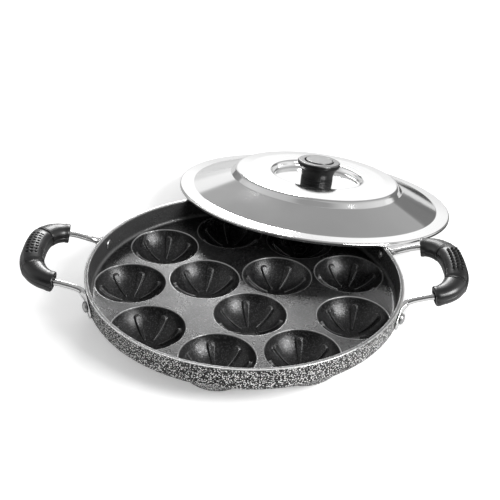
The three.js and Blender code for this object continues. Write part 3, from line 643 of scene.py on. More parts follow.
# Wear and painted highlight on the dish: lighter and more metallic at the corner below the wall and at the
# top of the wall.
LIGHTENED_BY_HEIGHT = {DECK + 0.1: 0, DECK + 0.8: 0.2, DECK + CORNER: 0.06, RIM_HEIGHT - 1: 0.06, RIM_HEIGHT: 0.3}
lightened_share = np.interp(dish_points[:, 2], list(LIGHTENED_BY_HEIGHT), list(LIGHTENED_BY_HEIGHT.values()))
pan.data.attributes.new("worn", "FLOAT", "POINT").data.foreach_set("value", lightened_share)
for cavity, count, ring, first_turn in ((outer_cavity, 9, OUTER_RING, OUTER_TURN),
                                        (inner_cavity, 3, INNER_RING, INNER_TURN)):
    set_tree(pan, rings, Piece=cavity, Count=count, Ring_Radius=ring, First_Turn=first_turn,
             Finish=nonstick, Weld=0.004)
apply_trees(pan)
for cavity in (outer_cavity, inner_cavity):
    bpy.data.objects.remove(cavity)
close_up(pan, weld=None)
pan.data.transform(Matrix.Translation(Vector(PAN_AXIS)) @ Matrix.Scale(MM, 4))
seat(pan, "pan", "pan", "pan_body")

# %% [markdown]
# ## The handles
# A handle is one bright wire, bent into a bow and hammered flat at its two feet, which lie on
# the wall and are riveted there. The wire is a sweep: a round section follows the line of the
# bow and turns into a flat oval on the wall. Half of it is enough, because the other half is
# its mirror image, and the two handles are half a turn apart. The grips are black plastic,
# dull in their dimples, where painted shade also makes the colour darker.

# %% Finishes of the handles
look = Finish("bright_wire", Metallic=1.0)
chrome = look.dress(look.group(moulding, Size=0.0004), ("Cloud", 0.72, 0.84), ("Cloud", 0.16, 0.24),
                    ("Grain", 0.05, 0.0001))
look = Finish("rivet_metal", Metallic=1.0)
rivet_metal = look.dress(look.group(moulding, Size=0.0003), ("Cloud", 0.36, 0.56), ("Grain", 0.24, 0.36),
                         ("Cloud", 0.15, 0.0002))

look = Finish("grip_plastic", IOR=1.6)
grip_plastic = look.material
grain = look.group(moulding, Size=0.0006)
pit = look.attribute("pit")
# Painted shade: the colour goes darker inside the dimples, where shade falls.
cloud_and_pit_shade = look.times(grain["Cloud"], look.ramp(pit, 0.0, 0.2, 1.0, 0.0))
dullness = look.ramp(pit, 0.0, 0.12, 0.0, 1.0)
look.set(Base_Color=look.mix(cloud_and_pit_shade, (0.001, 0.001, 0.0011), (0.01, 0.01, 0.0103)),
         Roughness=look.calc("MAXIMUM", look.rough(grain["Cloud"], 0.26, 0.34), dullness))
look.bump(grain["Grain"], 0.12, 0.0001)
print("handle finishes:", chrome.name, rivet_metal.name, grip_plastic.name)

# %% The line of the wire
WIRE, BOW_REACH, BOW_HALF, BOW_POWER = 2.25, 25.6, 33.2, 2 / 2.6
BOW_TILT, BOW_START, BOW_RISE = radians(10.3), 11.1, 4.4
RIVET_TURN, RIVET_DROP, FOOT_SLOPE = radians(21.4), 7.5, radians(38)
FOOT_TIP, FOOT_HALF, FOOT_THICK, FOOT_GAP = 8.8, 4.5, 2.0, 0.1
STAND, NECK, BEND = WIRE + 0.3, -11.5, -6.8


def wall_radius(height):
    """Outer radius of the wall at a height."""
    return RIM_RADIUS - tan(DRAFT) * (RIM_HEIGHT - height)


def foot_point(distance, stand_off, side):
    """A point over the wall, at a distance from the rivet along the sloping foot."""
    angle = RIVET_TURN + distance * cos(FOOT_SLOPE) / RIM_RADIUS
    height = RIM_HEIGHT - RIVET_DROP - distance * sin(FOOT_SLOPE)
    radius = wall_radius(height) + stand_off
    return np.array((radius * cos(angle), side * radius * sin(angle), height))


def blend(first, second, low, high, at):
    """A point between two points, by a place between two marks."""
    return first * (high - at) / (high - low) + second * (at - low) / (high - low)


def smooth_line(knots, steps):
    """A centripetal Catmull-Rom line through the knots."""
    knots = [2 * knots[0] - knots[1], *knots, 2 * knots[-1] - knots[-2]]
    line = []
    for p in zip(knots, knots[1:], knots[2:], knots[3:]):
        marks = np.r_[0, np.cumsum([sqrt(norm(b - a)) for a, b in zip(p, p[1:])])]
        for at in np.linspace(marks[1], marks[2], steps, endpoint=False):
            a = [blend(p[i], p[i + 1], marks[i], marks[i + 1], at) for i in range(3)]
            b = [blend(a[i], a[i + 1], marks[i], marks[i + 2], at) for i in range(2)]
            line.append(blend(*b, marks[1], marks[2], at))
    return np.array(line + [knots[-2]])


bow_turns = pi * (np.arange(21) / 20 - 0.5)
out = BOW_REACH * np.abs(np.cos(bow_turns)) ** BOW_POWER
swing = BOW_HALF * np.sign(bow_turns) * np.abs(np.sin(bow_turns)) ** BOW_POWER
bow = np.c_[RIM_RADIUS + BOW_START + out * cos(BOW_TILT), swing,
            RIM_HEIGHT + BOW_RISE + out * sin(BOW_TILT)]
ends = {side: [foot_point(at, STAND, side) for at in (BEND, NECK)] for side in (-1, 1)}
wire_line = smooth_line([*ends[-1], *bow, *ends[1][::-1]], 12)
wire_marks = np.r_[0, np.cumsum(norm(np.diff(wire_line, axis=0), axis=1))]
WIRE_LENGTH = wire_marks[-1]


def on_wire(distance):
    """Point of the wire's line at a distance from the middle of the bow."""
    return np.array([np.interp(distance + WIRE_LENGTH / 2, wire_marks, column) for column in wire_line.T])


print("length of the wire between its feet:", round(float(WIRE_LENGTH), 1), "mm")

# %% The wire with its flattened feet
SIDES, FLAT_END = 20, -5.0
TIP_STEPS = np.array((0.0, 0.05, 0.25, 0.7, 1.4, 2.4, 3.4, 4.4))
FOOT_STEPS = np.r_[FOOT_TIP - TIP_STEPS, np.arange(3.5, FLAT_END, -1.5)]
SIDE_TURNS = {"right": 0.0, "left": pi}


def wire_stations():
    """Place, half width and half thickness of sections from the foot's tip to the bow's middle."""
    stations, thin = [], FOOT_THICK / 2
    for distance in FOOT_STEPS:
        tip = np.clip((FOOT_TIP - distance) / FOOT_HALF, 0.0, 1.0)
        half = FOOT_HALF * sqrt(max(1e-4, 1 - (1 - tip) ** 2))
        thick = thin * min(1.0, 0.25 + half / FOOT_HALF)
        stations.append((foot_point(distance, FOOT_GAP + thin, 1), half, thick))
    for distance in np.arange(FLAT_END, NECK, -1.0):
        share = ease((FLAT_END - distance) / (FLAT_END - NECK))
        off = FOOT_GAP + thin + (STAND - FOOT_GAP - thin) * share
        stations.append((foot_point(distance, off, 1), FOOT_HALF + (WIRE - FOOT_HALF) * share,
                         thin + (WIRE - thin) * share))
    for distance in np.linspace(WIRE_LENGTH / 2 + NECK - BEND, 0, 60):
        stations.append((on_wire(distance), WIRE, WIRE))
    return stations


def wire_mesh():
    """The whole wire: half of it and its mirror image, to be welded in the middle of the bow."""
    stations = wire_stations()
    line = np.array([station[0] for station in stations])
    tangents = np.gradient(line, axis=0)
    tangents /= norm(tangents, axis=1)[:, None]
    tangents[-1] = (0, -1, 0)
    normal = line[0] * (1, 1, 0) / norm(line[0][:2])
    oval = on_circle(1.0, np.arange(SIDES) * tau / SIDES)
    rows = []
    for (centre, half, thick), tangent in zip(stations, tangents):
        normal = unit(normal - tangent * (normal @ tangent))
        rows.append(centre + oval * (half, thick) @ np.array((np.cross(tangent, normal), normal)))
    points = np.concatenate(rows + [rows[0].mean(axis=0)[None]])
    faces = grid_faces(len(rows), SIDES) + [((i + 1) % SIDES, i, len(points) - 1) for i in range(SIDES)]
    mirrored = [tuple(v + len(points) for v in reversed(f)) for f in faces]
    return np.concatenate([points, points * (1, -1, 1)]), faces + mirrored


def turn_about_axis(points, angle):
    """Points turned about the axis of the pan."""
    c, s = cos(angle), sin(angle)
    return np.asarray(points) @ np.array([[c, s, 0], [-s, c, 0], [0, 0, 1]])


wire_points, wire_faces = wire_mesh()
for side, turn in SIDE_TURNS.items():
    wire = make_piece(f"wire_{side}", on_pan(turn_about_axis(wire_points, turn)), wire_faces, [chrome])
    seat(close_up(wire), "pan", "rod", f"handle_rod_{side}")

# %% [markdown]
# The rivets have a high domed head outside and a flatter one inside the wall. All four are
# the same turned shape, so Geometry Nodes set one shape on four marked points, and each
# point carries the turn that lays the rivet square to the wall. The grip screws use the
# same tree.

# %% The tree that sets pieces on marked points
on_marks, start = new_group("pieces_on_marks", "Geometry", "Geometry, Piece, Size, Finish", "Geometry")
lay = on_marks.geometry("InputNamedAttribute", {"Name": "lay"}, data_type="FLOAT_VECTOR")
size = on_marks.add("CombineXYZ", {key: start["Size"] for key in "XYZ"})
copies = copies_of(on_marks, start["Piece"], start["Geometry"], lay["Attribute"], Scale=size["Vector"])
on_marks.set(Geometry=realise(on_marks, copies, start["Finish"]))


def set_on_marks(name, shape, material, marks):
    """One piece made of copies of a shape, each at a place with three axes (x, y, z)."""
    mesh = bpy.data.meshes.new(name)
    mesh.from_pydata([tuple(place) for place, axes in marks], [], [])
    lay = mesh.attributes.new("lay", "FLOAT_VECTOR", "POINT")
    turns = [Matrix(np.array(axes).T.tolist()).to_euler() for place, axes in marks]
    lay.data.foreach_set("vector", [value for turn in turns for value in turn])
    piece = bpy.data.objects.new(name, mesh)
    bpy.context.scene.collection.objects.link(piece)
    set_tree(piece, on_marks, Piece=shape, Size=MM, Finish=material)
    apply_trees(piece)
    bpy.data.objects.remove(shape)
    return piece


print("mark tree nodes:", len(on_marks.tree.nodes))

# %% The rivets
HEAD, OUTER_HEAD, INNER_HEAD, SHANK = 4.0, 2.6, 1.6, 2.0
OUTER_EDGE, INNER_EDGE = 0.5, 0.25
outside_at, inside_at = FOOT_GAP + FOOT_THICK, -SHEET - 0.05
head_turns = np.linspace(0, pi / 2, 9)
inner_dome = [(HEAD * cos(t), inside_at - INNER_EDGE - (INNER_HEAD - INNER_EDGE) * sin(t))
              for t in head_turns[::-1]]
outer_dome = [(HEAD * cos(t) ** 0.9, outside_at + OUTER_EDGE + (OUTER_HEAD - OUTER_EDGE) * sin(t))
              for t in head_turns]
inner_dome[0], outer_dome[-1] = (0.0, inner_dome[0][1]), (0.0, outer_dome[-1][1])
rivet_line = [*inner_dome, (HEAD - 0.1, inside_at), (SHANK, inside_at), (SHANK, outside_at),
              (HEAD - 0.2, outside_at), *outer_dome]
rivet_shape = make_piece("rivet_shape", *turned(rivet_line, 40), [rivet_metal])
HANDLE_ENDS = [(f"{side}_{end}", turn, way) for side, turn in SIDE_TURNS.items()
               for end, way in (("back", 1), ("front", -1))]
rivet_marks = []
for _, turn, way in HANDLE_ENDS:
    angle, height = turn + way * RIVET_TURN, RIM_HEIGHT - RIVET_DROP
    level = np.array((cos(angle), sin(angle), 0.0))
    outward = level * cos(DRAFT) - UP * sin(DRAFT)
    aside = np.cross(UP, level)
    spot = level * wall_radius(height) + UP * height
    rivet_marks.append((on_pan(spot), (aside, np.cross(outward, aside), outward)))
rivets = set_on_marks("rivets", rivet_shape, rivet_metal, rivet_marks)
seat(close_up(rivets), "pan", "rivet", *(f"rivet_{name}" for name, _, _ in HANDLE_ENDS))

# %% [markdown]
# ## The grips
# Each grip is two moulded halves that close round the wire, with a thin parting line between
# them. Two grooves set off the middle, which is a little proud on top and carries three rows
# of small dimples. The ends are stepped: a shallow round recess lets the wire in. The halves
# are lofts along the bow, and a Geometry Nodes tree moves the fine mesh of the dimples along
# its normals. Two faults are left: the outline goes round the channel the wrong way, so the
# channel is a doubled surface and not a hollow, and the faces of the right halves look
# inwards, so the dimples there stand out.

# %% Sections of a grip
GRIP_HALF, GROOVE_AT, GROOVE_HALF, GROOVE_DEEP = 42.8, 21.5, 0.9, 1.7
MIDDLE_SIZE, ELBOW_SIZE, END_SIZE = np.array(((8.5, 8.6), (8.8, 7.0), (6.7, 6.1)))
SWELL, COLLAR, COLLAR_LONG = np.array((0.0, 1.9)), 0.45, 3.0
PARTING, CHANNEL = 0.12, 2.45
PANEL_TURN, PANEL_HIGH, SQUARE = 42.0, 0.35, 0.84
SECTION_DEGREES = np.r_[0, 2, 6, 12, 18, 24, 30, 35, 38, 40, 42, 44, 46, np.arange(48, 124, 1.7),
                        130, 138, 146, 154, 162, 170, 176, 180]
SECTION_TURNS = np.radians(SECTION_DEGREES)


def grip_size(distance):
    """Half width and half height of a grip's section at a distance from its middle."""
    along = abs(distance)
    share = np.clip((along - GROOVE_AT) / (GRIP_HALF - GROOVE_AT), 0, 1)
    if share > 0:
        size = ELBOW_SIZE + (END_SIZE - ELBOW_SIZE) * share ** 1.3
    else:
        size = MIDDLE_SIZE - SWELL * (along / GROOVE_AT) ** 2
    size = size + COLLAR * np.clip((along - GRIP_HALF + COLLAR_LONG) / 0.8, 0, 1)
    groove = np.clip(1 - (abs(along - GROOVE_AT) - GROOVE_HALF * 0.45) / (GROOVE_HALF * 0.9), 0, 1)
    return size - GROOVE_DEEP * ease(groove)


def grip_outline(size, upper, in_middle):
    """Half a section, from the outer side over the top to the inner side and back by the channel."""
    cosine = np.cos(SECTION_TURNS)
    cosine = np.sign(cosine) * np.abs(cosine) ** SQUARE
    rise = np.abs(np.sin(SECTION_TURNS)) ** SQUARE
    oval = np.c_[-size[0] * cosine, PARTING + (size[1] - PARTING) * rise]
    if in_middle:
        near = np.clip((SECTION_DEGREES - PANEL_TURN) / 3.0, -1, 1)
        far = np.clip((165 - SECTION_DEGREES) / 15, 0, 1)
        step = PANEL_HIGH * in_middle * np.where(SECTION_DEGREES < 150, near, far)
        oval += oval / norm(oval, axis=1)[:, None] * step[:, None]
    channel = CHANNEL * on_circle(1.0, np.linspace(pi, 0, 9)) + (0.0, PARTING)
    outline = np.concatenate([oval, channel])
    return outline if upper else (outline * (1, -1))[::-1]


print("points in half a section:", len(SECTION_TURNS))

# %% The loft of a grip half
END_ROUND, RECESS, RECESS_DEEP = 0.9, 4.6, 2.4
RECESS_STEPS = ((RECESS, 0.0), (RECESS - 0.25, 0.25), (RECESS - 0.3, RECESS_DEEP))
OFF_PATTERN = -90.0


def grip_stations():
    """Distances along the grip and what each section loses to the rounding of the end."""
    middle = np.r_[0, np.arange(0.25, 14.5, 0.25), np.arange(16, 23, 1.6), 23.4]
    groove = GROOVE_AT + np.array((-1.2, -0.95, -0.7, -0.4, 0, 0.4, 0.7, 0.95, 1.2, 1.7))
    elbow = np.arange(28.5, GRIP_HALF - END_ROUND - 0.6, 2.0)
    half = [(distance, 0.0) for distance in np.r_[middle, groove, elbow]]
    for turn in np.linspace(0, pi / 2, 6):
        half.append((GRIP_HALF - END_ROUND * (1 - sin(turn)), END_ROUND * (1 - cos(turn))))
    return half


def wire_frame(distance):
    """Place, inward and upward directions of the grip's section on the bow."""
    up = np.array((-sin(BOW_TILT), 0.0, cos(BOW_TILT)))
    tangent = on_wire(distance + 0.4) - on_wire(distance - 0.4)
    return on_wire(distance), unit(np.cross(up, tangent)), up


def grip_half(upper):
    """Points and faces of a grip half, with the dimple pattern's coordinates on every point."""
    half = grip_stations()
    rows, spots = [], []

    def add_row(distance, outline, deep=0.0, turns=OFF_PATTERN):
        place, inward, up = wire_frame(distance)
        rows.append(place - np.cross(inward, up) * deep + outline @ np.array((inward, up)))
        none = np.zeros(len(outline))
        spots.append(np.c_[none + distance, none + turns, none])

    for size, deep in RECESS_STEPS[::-1]:
        add_row(-GRIP_HALF, grip_outline((size, size), upper, 0.0), -deep)
    for distance, lost in [(-d, lost) for d, lost in half[:0:-1]] + half:
        in_middle = float(np.clip((GROOVE_AT - GROOVE_HALF - abs(distance)) / 0.6, 0, 1)) if upper else 0.0
        outline = grip_outline(grip_size(distance) - lost, upper, in_middle)
        add_row(distance, outline, turns=np.degrees(np.arctan2(outline[:, 1], -outline[:, 0])))
    for size, deep in RECESS_STEPS:
        add_row(GRIP_HALF, grip_outline((size, size), upper, 0.0), deep)
    count, last = len(rows[0]), (len(rows) - 1) * len(rows[0])
    caps = [tuple(range(count))[::-1], tuple(range(last, last + count))]
    return np.concatenate(rows), grid_faces(len(rows), count) + caps, np.concatenate(spots)


print("sections along a grip:", 2 * len(grip_stations()) - 1)

# %% The tree that presses the dimples
COLUMNS = ("First Column", "Second Column", "Third Column")
dimple_inputs = ", ".join(("Geometry, Rows, Step", *COLUMNS, "Radius, Section Radius, Depth, Finish"))
dimples, start = new_group("dimples", "Geometry", dimple_inputs, "Geometry")
spot = dimples.geometry("InputNamedAttribute", {"Name": "spot"}, data_type="FLOAT_VECTOR")
parts = dimples.split(spot["Attribute"])
row = dimples.calc("ADD", dimples.calc("DIVIDE", parts["X"], start["Step"]), 0.5)
nearest = dimples.calc("ROUND", row)
off_row = dimples.times(dimples.calc("SUBTRACT", row, nearest), start["Step"])
row_place = dimples.calc("ABSOLUTE", dimples.calc("SUBTRACT", nearest, 0.5))
in_rows = dimples.calc("LESS_THAN", row_place, dimples.times(start["Rows"], 0.5))
off_turn = None
for label in COLUMNS:
    off = dimples.calc("ABSOLUTE", dimples.calc("SUBTRACT", parts["Y"], start[label]))
    off_turn = off if off_turn is None else dimples.calc("MINIMUM", off_turn, off)
arc_step = dimples.times(start["Section Radius"], pi / 180)
off_column = dimples.times(off_turn, arc_step)
squares = [dimples.calc("POWER", off, 2.0) for off in (off_row, off_column)]
reach = dimples.calc("DIVIDE", dimples.calc("SQRT", dimples.calc("ADD", *squares)), start["Radius"])
pressed = dimples.times(dimples.ramp(reach, 1.0, 0.7, 0.0, 1.0), in_rows)
note = {"Geometry": start["Geometry"], "Name": "pit", "Value": pressed}
noted = dimples.geometry("StoreNamedAttribute", note, data_type="FLOAT", domain="POINT")
normal = dimples.geometry("InputNormal")["Normal"]
sunk = dimples.times(dimples.times(pressed, start["Depth"]), -1.0)
inwards = dimples.add("VectorMath", {0: normal, "Scale": sunk}, operation="SCALE")["Vector"]
moved = dimples.geometry("SetPosition", {"Geometry": noted["Geometry"], "Offset": inwards})
dimples.set(Geometry=realise(dimples, moved["Geometry"], start["Finish"]))
print("dimple tree nodes:", len(dimples.tree.nodes))

# %% The four grip halves
DIMPLES = {"Rows": 8.0, "Step": 3.5, "First_Column": 60.0, "Second_Column": 80.0, "Third_Column": 101.0,
           "Radius": 1.0, "Section_Radius": 8.0, "Depth": 0.0014}
for side, turn in SIDE_TURNS.items():
    for half_name in ("upper", "lower"):
        points, faces, spots = grip_half(half_name == "upper")
        points = on_pan(turn_about_axis(points, turn))
        grip = make_piece(f"grip_{half_name}_{side}_half", points, faces, [grip_plastic])
        close_up(grip, weld=None)
        if half_name == "upper":
            spot = grip.data.attributes.new("spot", "FLOAT_VECTOR", "POINT")
            spot.data.foreach_set("vector", spots.ravel())
            set_tree(grip, dimples, Finish=grip_plastic, **DIMPLES)
            apply_trees(grip)
            grip.data.attributes.remove(grip.data.attributes["spot"])
            grip.data.shade_smooth()
        seat(grip, "pan", "grip", f"grip_{half_name}_{side}")

# %% [markdown]
# ## The lid
# The lid is one sheet of polished steel, spun over a form: a rolled hem, a flange, a cone, a
# step up to the crown and a sunk well for the knob. All its corners are rolled, and a mirror
# shows every one of them, so the profile is rounded with care before it is turned. The
# inside is left satin, as it comes from the form.

# %% Finishes of the lid
lid_turn = Matrix(LID_AXES.T.tolist()).to_euler()


def lid_place(look):
    """A point's place seen along the axis of the lid, in metres from the middle of the lid."""
    shifted = look.vector("SUBTRACT", look.place(), tuple(LID_CENTRE))
    return look.add("VectorRotate", {"Vector": shifted, "Rotation": tuple(lid_turn)},
                    rotation_type="EULER_XYZ", invert=True)["Vector"]


def lid_finish(name, tones, rough, bump):
    """Steel with turning marks round the axis of the lid."""
    look = Finish(name, Metallic=1.0)
    return look.dress(look.group(turning, Centred=lid_place(look), Fineness=2600.0), tones, rough, bump)


steel = lid_finish("polished_steel", ("Smudge", 0.82, 0.9), ("Smudge", 0.08, 0.12), ("Mark", 0.02, 0.0001))
satin = lid_finish("satin_inside", ("Mark", 0.66, 0.8), ("Smudge", 0.42, 0.52), ("Mark", 0.05, 0.0001))
print("lid finishes:", steel.name, satin.name)

# %% The lid sheet
LID_RADIUS, LID_SHEET, HEM_LOW, HEM_INNER = 116.2, 0.8, -2.6, 113.4
WELL_TOP, CROWN = 12.4, 17.9
lid_line = rounded([(0.0, WELL_TOP, 0), (37.6, WELL_TOP, 2.5), (39.2, CROWN, 2.5), (58.0, CROWN, 60.0),
                    (69.6, 17.4, 4.5), (73.6, 12.4, 1.8), (104.8, 0.65, 4.0), (LID_RADIUS, -0.05, 2.2),
                    (LID_RADIUS, HEM_LOW, 0.5), (HEM_INNER, HEM_LOW, 0.3), (HEM_INNER, -1.0, 0)], steps=7)


def lid_piece(name, line, segments, *materials):
    """A closed piece that is turned about the axis of the lid."""
    points, faces = turned(line, segments)
    return close_up(make_piece(name, on_lid(points), faces, materials))


top_side = lid_line[:lid_line.index(max(lid_line))]
lid_under = [(r, z - LID_SHEET) for r, z in top_side if r < HEM_INNER - 0.5]
lid_sheet = lid_piece("lid_sheet", lid_under + lid_line[::-1], 256, steel, satin)
for polygon in lid_sheet.data.polygons:
    polygon.material_index = int(polygon.normal.dot(Vector(lid_axis)) < -0.3)
seat(lid_sheet, "lid", "lid", "lid_shell")

# %% [markdown]
# The knob is a black moulded spool that flares to a broad top, polished by use, with a raised
# disc set in a groove. It stands on a black ring in the well. Below the sheet a pan-head screw
# with a washer goes up into a brass insert.

# %% Finish and shape of the knob
KNOB_LOW, KNOB_HIGH, KNOB_WAIST, KNOB_TOP, CAP = 14.3, 29.6, 13.4, 18.2, 11.4
FLARE_LOW, FLARE_LONG, GROOVE_FLOOR, CAP_TOP = KNOB_LOW + 1.2, 10.4, KNOB_HIGH - 2.0, KNOB_HIGH + 0.65
look = Finish("knob_plastic", IOR=1.34, Coat_IOR=2.2, Coat_Roughness=0.3)
tones = ("Cloud", (0.003, 0.003, 0.0032), (0.007, 0.007, 0.0072))
grain = look.group(moulding, Size=0.0007)
knob_plastic = look.dress(grain, tones, ("Cloud", 0.32, 0.4), ("Grain", 0.06, 0.0001))
height = look.split(lid_place(look))["Z"]
look.set(Coat_Weight=look.ramp(height, (KNOB_HIGH - 1.3) * MM, (KNOB_HIGH - 0.4) * MM, 0.0, 1.0))

foot = [(0.0, KNOB_LOW, 0), (KNOB_WAIST + 0.3, KNOB_LOW, 0.5), (KNOB_WAIST + 0.1, FLARE_LOW, 0)]
flare = [(KNOB_WAIST + (KNOB_TOP - 0.25 - KNOB_WAIST) * s ** 2.4, FLARE_LOW + FLARE_LONG * s)
         for s in np.linspace(0.08, 1, 16)]
top = [(*flare[-1], 0), (KNOB_TOP, KNOB_LOW + 12.6, 0.9), (KNOB_TOP, KNOB_HIGH, 2.2),
       (CAP + 1.2, KNOB_HIGH, 0.5), (CAP + 1.0, GROOVE_FLOOR, 0.2), (0.0, GROOVE_FLOOR, 0)]
knob_line = rounded(foot, steps=4) + flare[:-1] + rounded(top, steps=6)
seat(lid_piece("knob", knob_line, 96, knob_plastic), "lid", "knob", "lid_knob")

look = Finish("cap_plastic", IOR=1.5, Coat_Weight=1.0, Coat_IOR=2.2, Coat_Roughness=0.3)
tones = ("Cloud", (0.012, 0.012, 0.0125), (0.024, 0.024, 0.0245))
grain = look.group(moulding, Size=0.0005)
cap_plastic = look.dress(grain, tones, ("Grain", 0.18, 0.26), ("Grain", 0.1, 0.0001))
CAP_LOW = KNOB_HIGH - 1.7
cap_line = rounded([(0.0, CAP_LOW, 0), (CAP, CAP_LOW, 0.2), (CAP, CAP_TOP, 0.6), (0.0, CAP_TOP, 0)])
seat(lid_piece("knob_disc", cap_line, 96, cap_plastic), "lid", "knob_cap", "knob_cap")

# %% Small pieces round the knob's screw
look = Finish("screw_steel", Metallic=1.0)
screw_steel = look.dress(look.group(moulding, Size=0.0003), ("Cloud", (0.45, 0.45, 0.46), (0.62, 0.62, 0.63)),
                         ("Grain", 0.22, 0.34))
look = Finish("insert_brass", Metallic=1.0)
brass = look.dress(look.group(moulding, Size=0.0003), ("Cloud", (0.5, 0.36, 0.14), (0.64, 0.47, 0.2)),
                   ("Grain", 0.25, 0.38))


def ring_line(inner, outer, low, high, edge):
    """The closed profile of a washer with its outer edges rounded."""
    line = rounded([(inner, low, 0), (outer, low, edge), (outer, high, edge), (inner, high, 0)], steps=3)
    return line + line[:1]


screw_washer = lid_piece("screw_washer", ring_line(2.7, 7.0, 10.3, 11.3, 0.3), 48, screw_steel)
seat(screw_washer, "lid", "washer", "knob_screw_washer")
seat_line = ring_line(3.0, KNOB_WAIST + 0.2, WELL_TOP, KNOB_LOW - 0.05, 0.2)
seat(lid_piece("seat_ring", seat_line, 96, knob_plastic), "lid", "knob", "knob_seat_washer")
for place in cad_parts["knob_insert"].material_slots:
    place.material = brass
print("the insert inside the knob keeps its CAD shape")

# %% [markdown]
# The screws have domed heads with a cross recess. The head is a fine turned shape, and the
# points inside a cross are pushed up into it, which is quicker and cleaner than a Boolean.

# %% The screws
FINE_WELD, CHAMFER = 0.000001, 0.6
SCREW_AT, SCREW_INWARD = 15.0, 5.0


def screw_shape(name, head, head_low, head_high, shank, reach):
    """A pan-head screw along z with its head below and a cross recess in it."""
    tall = head_high - head_low
    line = [(head * r, head_high - tall * (0.35 + 0.65 * sqrt(1 - 0.96 * r ** 2)))
            for r in np.linspace(0, 1, 15)]
    line += [(head, head_high), (shank, head_high)]
    line += [(shank, reach - CHAMFER), (shank - CHAMFER, reach), (0.0, reach)]
    points, faces = turned(line, 64)
    arm, thick = head * 0.58, head * 0.13
    x, y = np.abs(points[:, :2]).T
    cross = np.maximum(np.maximum(x, y) - arm, np.minimum(x, y) - thick)
    deep = np.clip((0.12 * head - cross) / (0.16 * head), 0, 1) * tall * 0.55
    points[:, 2] += np.where(points[:, 2] < head_high - 0.2 * tall, deep, 0.0)
    return make_piece(name, points, faces, [screw_steel])


knob_screw_shape = screw_shape("knob_screw_shape", 4.6, 7.0, 10.0, 2.4, 22.3)
knob_screw = set_on_marks("knob_fixing_screw", knob_screw_shape, screw_steel, [(LID_CENTRE, LID_AXES)])
seat(close_up(knob_screw, FINE_WELD), "lid", "screw", "knob_screw")

screw_marks = []
for _, turn, way in HANDLE_ENDS:
    place, inward, up = wire_frame(way * SCREW_AT)
    spot = turn_about_axis(place + inward * SCREW_INWARD, turn)
    axes = [turn_about_axis(v, turn) for v in (inward, np.cross(up, inward), up)]
    screw_marks.append((on_pan(spot), axes))
grip_screw_shape = screw_shape("grip_screw_shape", 2.0, -4.8, -3.3, 1.1, 4.0)
grip_screws = set_on_marks("grip_screws", grip_screw_shape, screw_steel, screw_marks)
seat(close_up(grip_screws, FINE_WELD), "pan", "screw", *(f"grip_screw_{name}" for name, _, _ in HANDLE_ENDS))

# %% [markdown]
# ## The studio
# A pale floor runs out behind the object, so the background is plain white and the pan keeps
# a soft shadow. To mirrored rays only, the floor carries a painted dark reflection: it is darker
# under the lid, far in front and most of all on the right, as if dark cards lay there, and that
# draws the edge of the lid. A soft lamp on the right gives the glow in the cavities and one at
# the back the shine of the deck. The room is white low down with a grey skirting and two dark
# gaps, grey overhead and dark behind the camera, which is what the polished steel and the
# satin coating mirror.

# %% Floor
look = Finish("studio_floor", Roughness=0.9, Specular_IOR_Level=0.0, Emission_Color=(1, 1, 1, 1))
paths = look.add("LightPath")
spread = look.split(look.place())
# Painted reflection: these masks mark where mirrored rays see the floor dark, under the lid, far in front and
# on the right.
middle = look.times(look.ramp(spread["Y"], -0.1, 0.03, 0.35, 1.0),
                   look.ramp(spread["Y"], 0.05, 0.3, 0.95, 0.45))
painted_dark_reflection = look.calc("MAXIMUM", middle, look.ramp(spread["Y"], -0.4, -0.34, 1.0, 0.0))
painted_dark_reflection_right = look.times(look.ramp(spread["Y"], -0.06, -0.02, 0.0, 1.0),
                       look.ramp(spread["Y"], 0.19, 0.23, 1.0, 0.0))
painted_dark_reflection_right = look.times(painted_dark_reflection_right, look.ramp(spread["X"], 0.12, 0.16, 0.0, 0.98))
painted_dark_reflection = look.calc("MAXIMUM", look.times(painted_dark_reflection, 0.7), painted_dark_reflection_right)
mirrored = look.times(paths["Is Glossy Ray"], painted_dark_reflection)
# Painted reflection: mirrored rays see a dark floor where the masks say, while the camera sees it white.
look.set(Base_Color=look.mix(mirrored, 0.95, 0.05),
         Emission_Strength=look.times(paths["Is Camera Ray"], 0.35))
FLOOR = [(-0.8, -0.8, 0), (0.6, -0.8, 0), (0.6, 1.1, 0), (-0.8, 1.1, 0)]
floor = make_piece("floor", FLOOR, [(0, 1, 2, 3)], [look.material])
print("floor from", FLOOR[0], "to", FLOOR[2])

# %% Room light
LOW_SKY, HIGH_SKY = 0.28, 0.33
world = bpy.data.worlds.new("studio")
bpy.context.scene.world = world
world.use_nodes = True
room = Nodes(world.node_tree, world.node_tree.nodes["Background"])
way = room.split(room.add("TexCoord")["Generated"])
level_way = room.add("CombineXYZ", {"X": way["X"], "Y": way["Y"]})["Vector"]
level = room.vector("NORMALIZE", level_way)


def towards(azimuth, near, far, strength):
    """A strength in a sector of the room round an azimuth, and 0 outside it, by degrees."""
    turn = radians(azimuth)
    close = room.vector("DOT_PRODUCT", level, (cos(turn), sin(turn), 0.0))
    share = room.ramp(close, cos(radians(far)), cos(radians(near)), 0.0, 1.0)
    return room.times(share, strength)


def tone_mix(share, first, second):
    """A tone between two tones."""
    return room.add("Mix", {"Factor": share, "A": first, "B": second})["Result"]


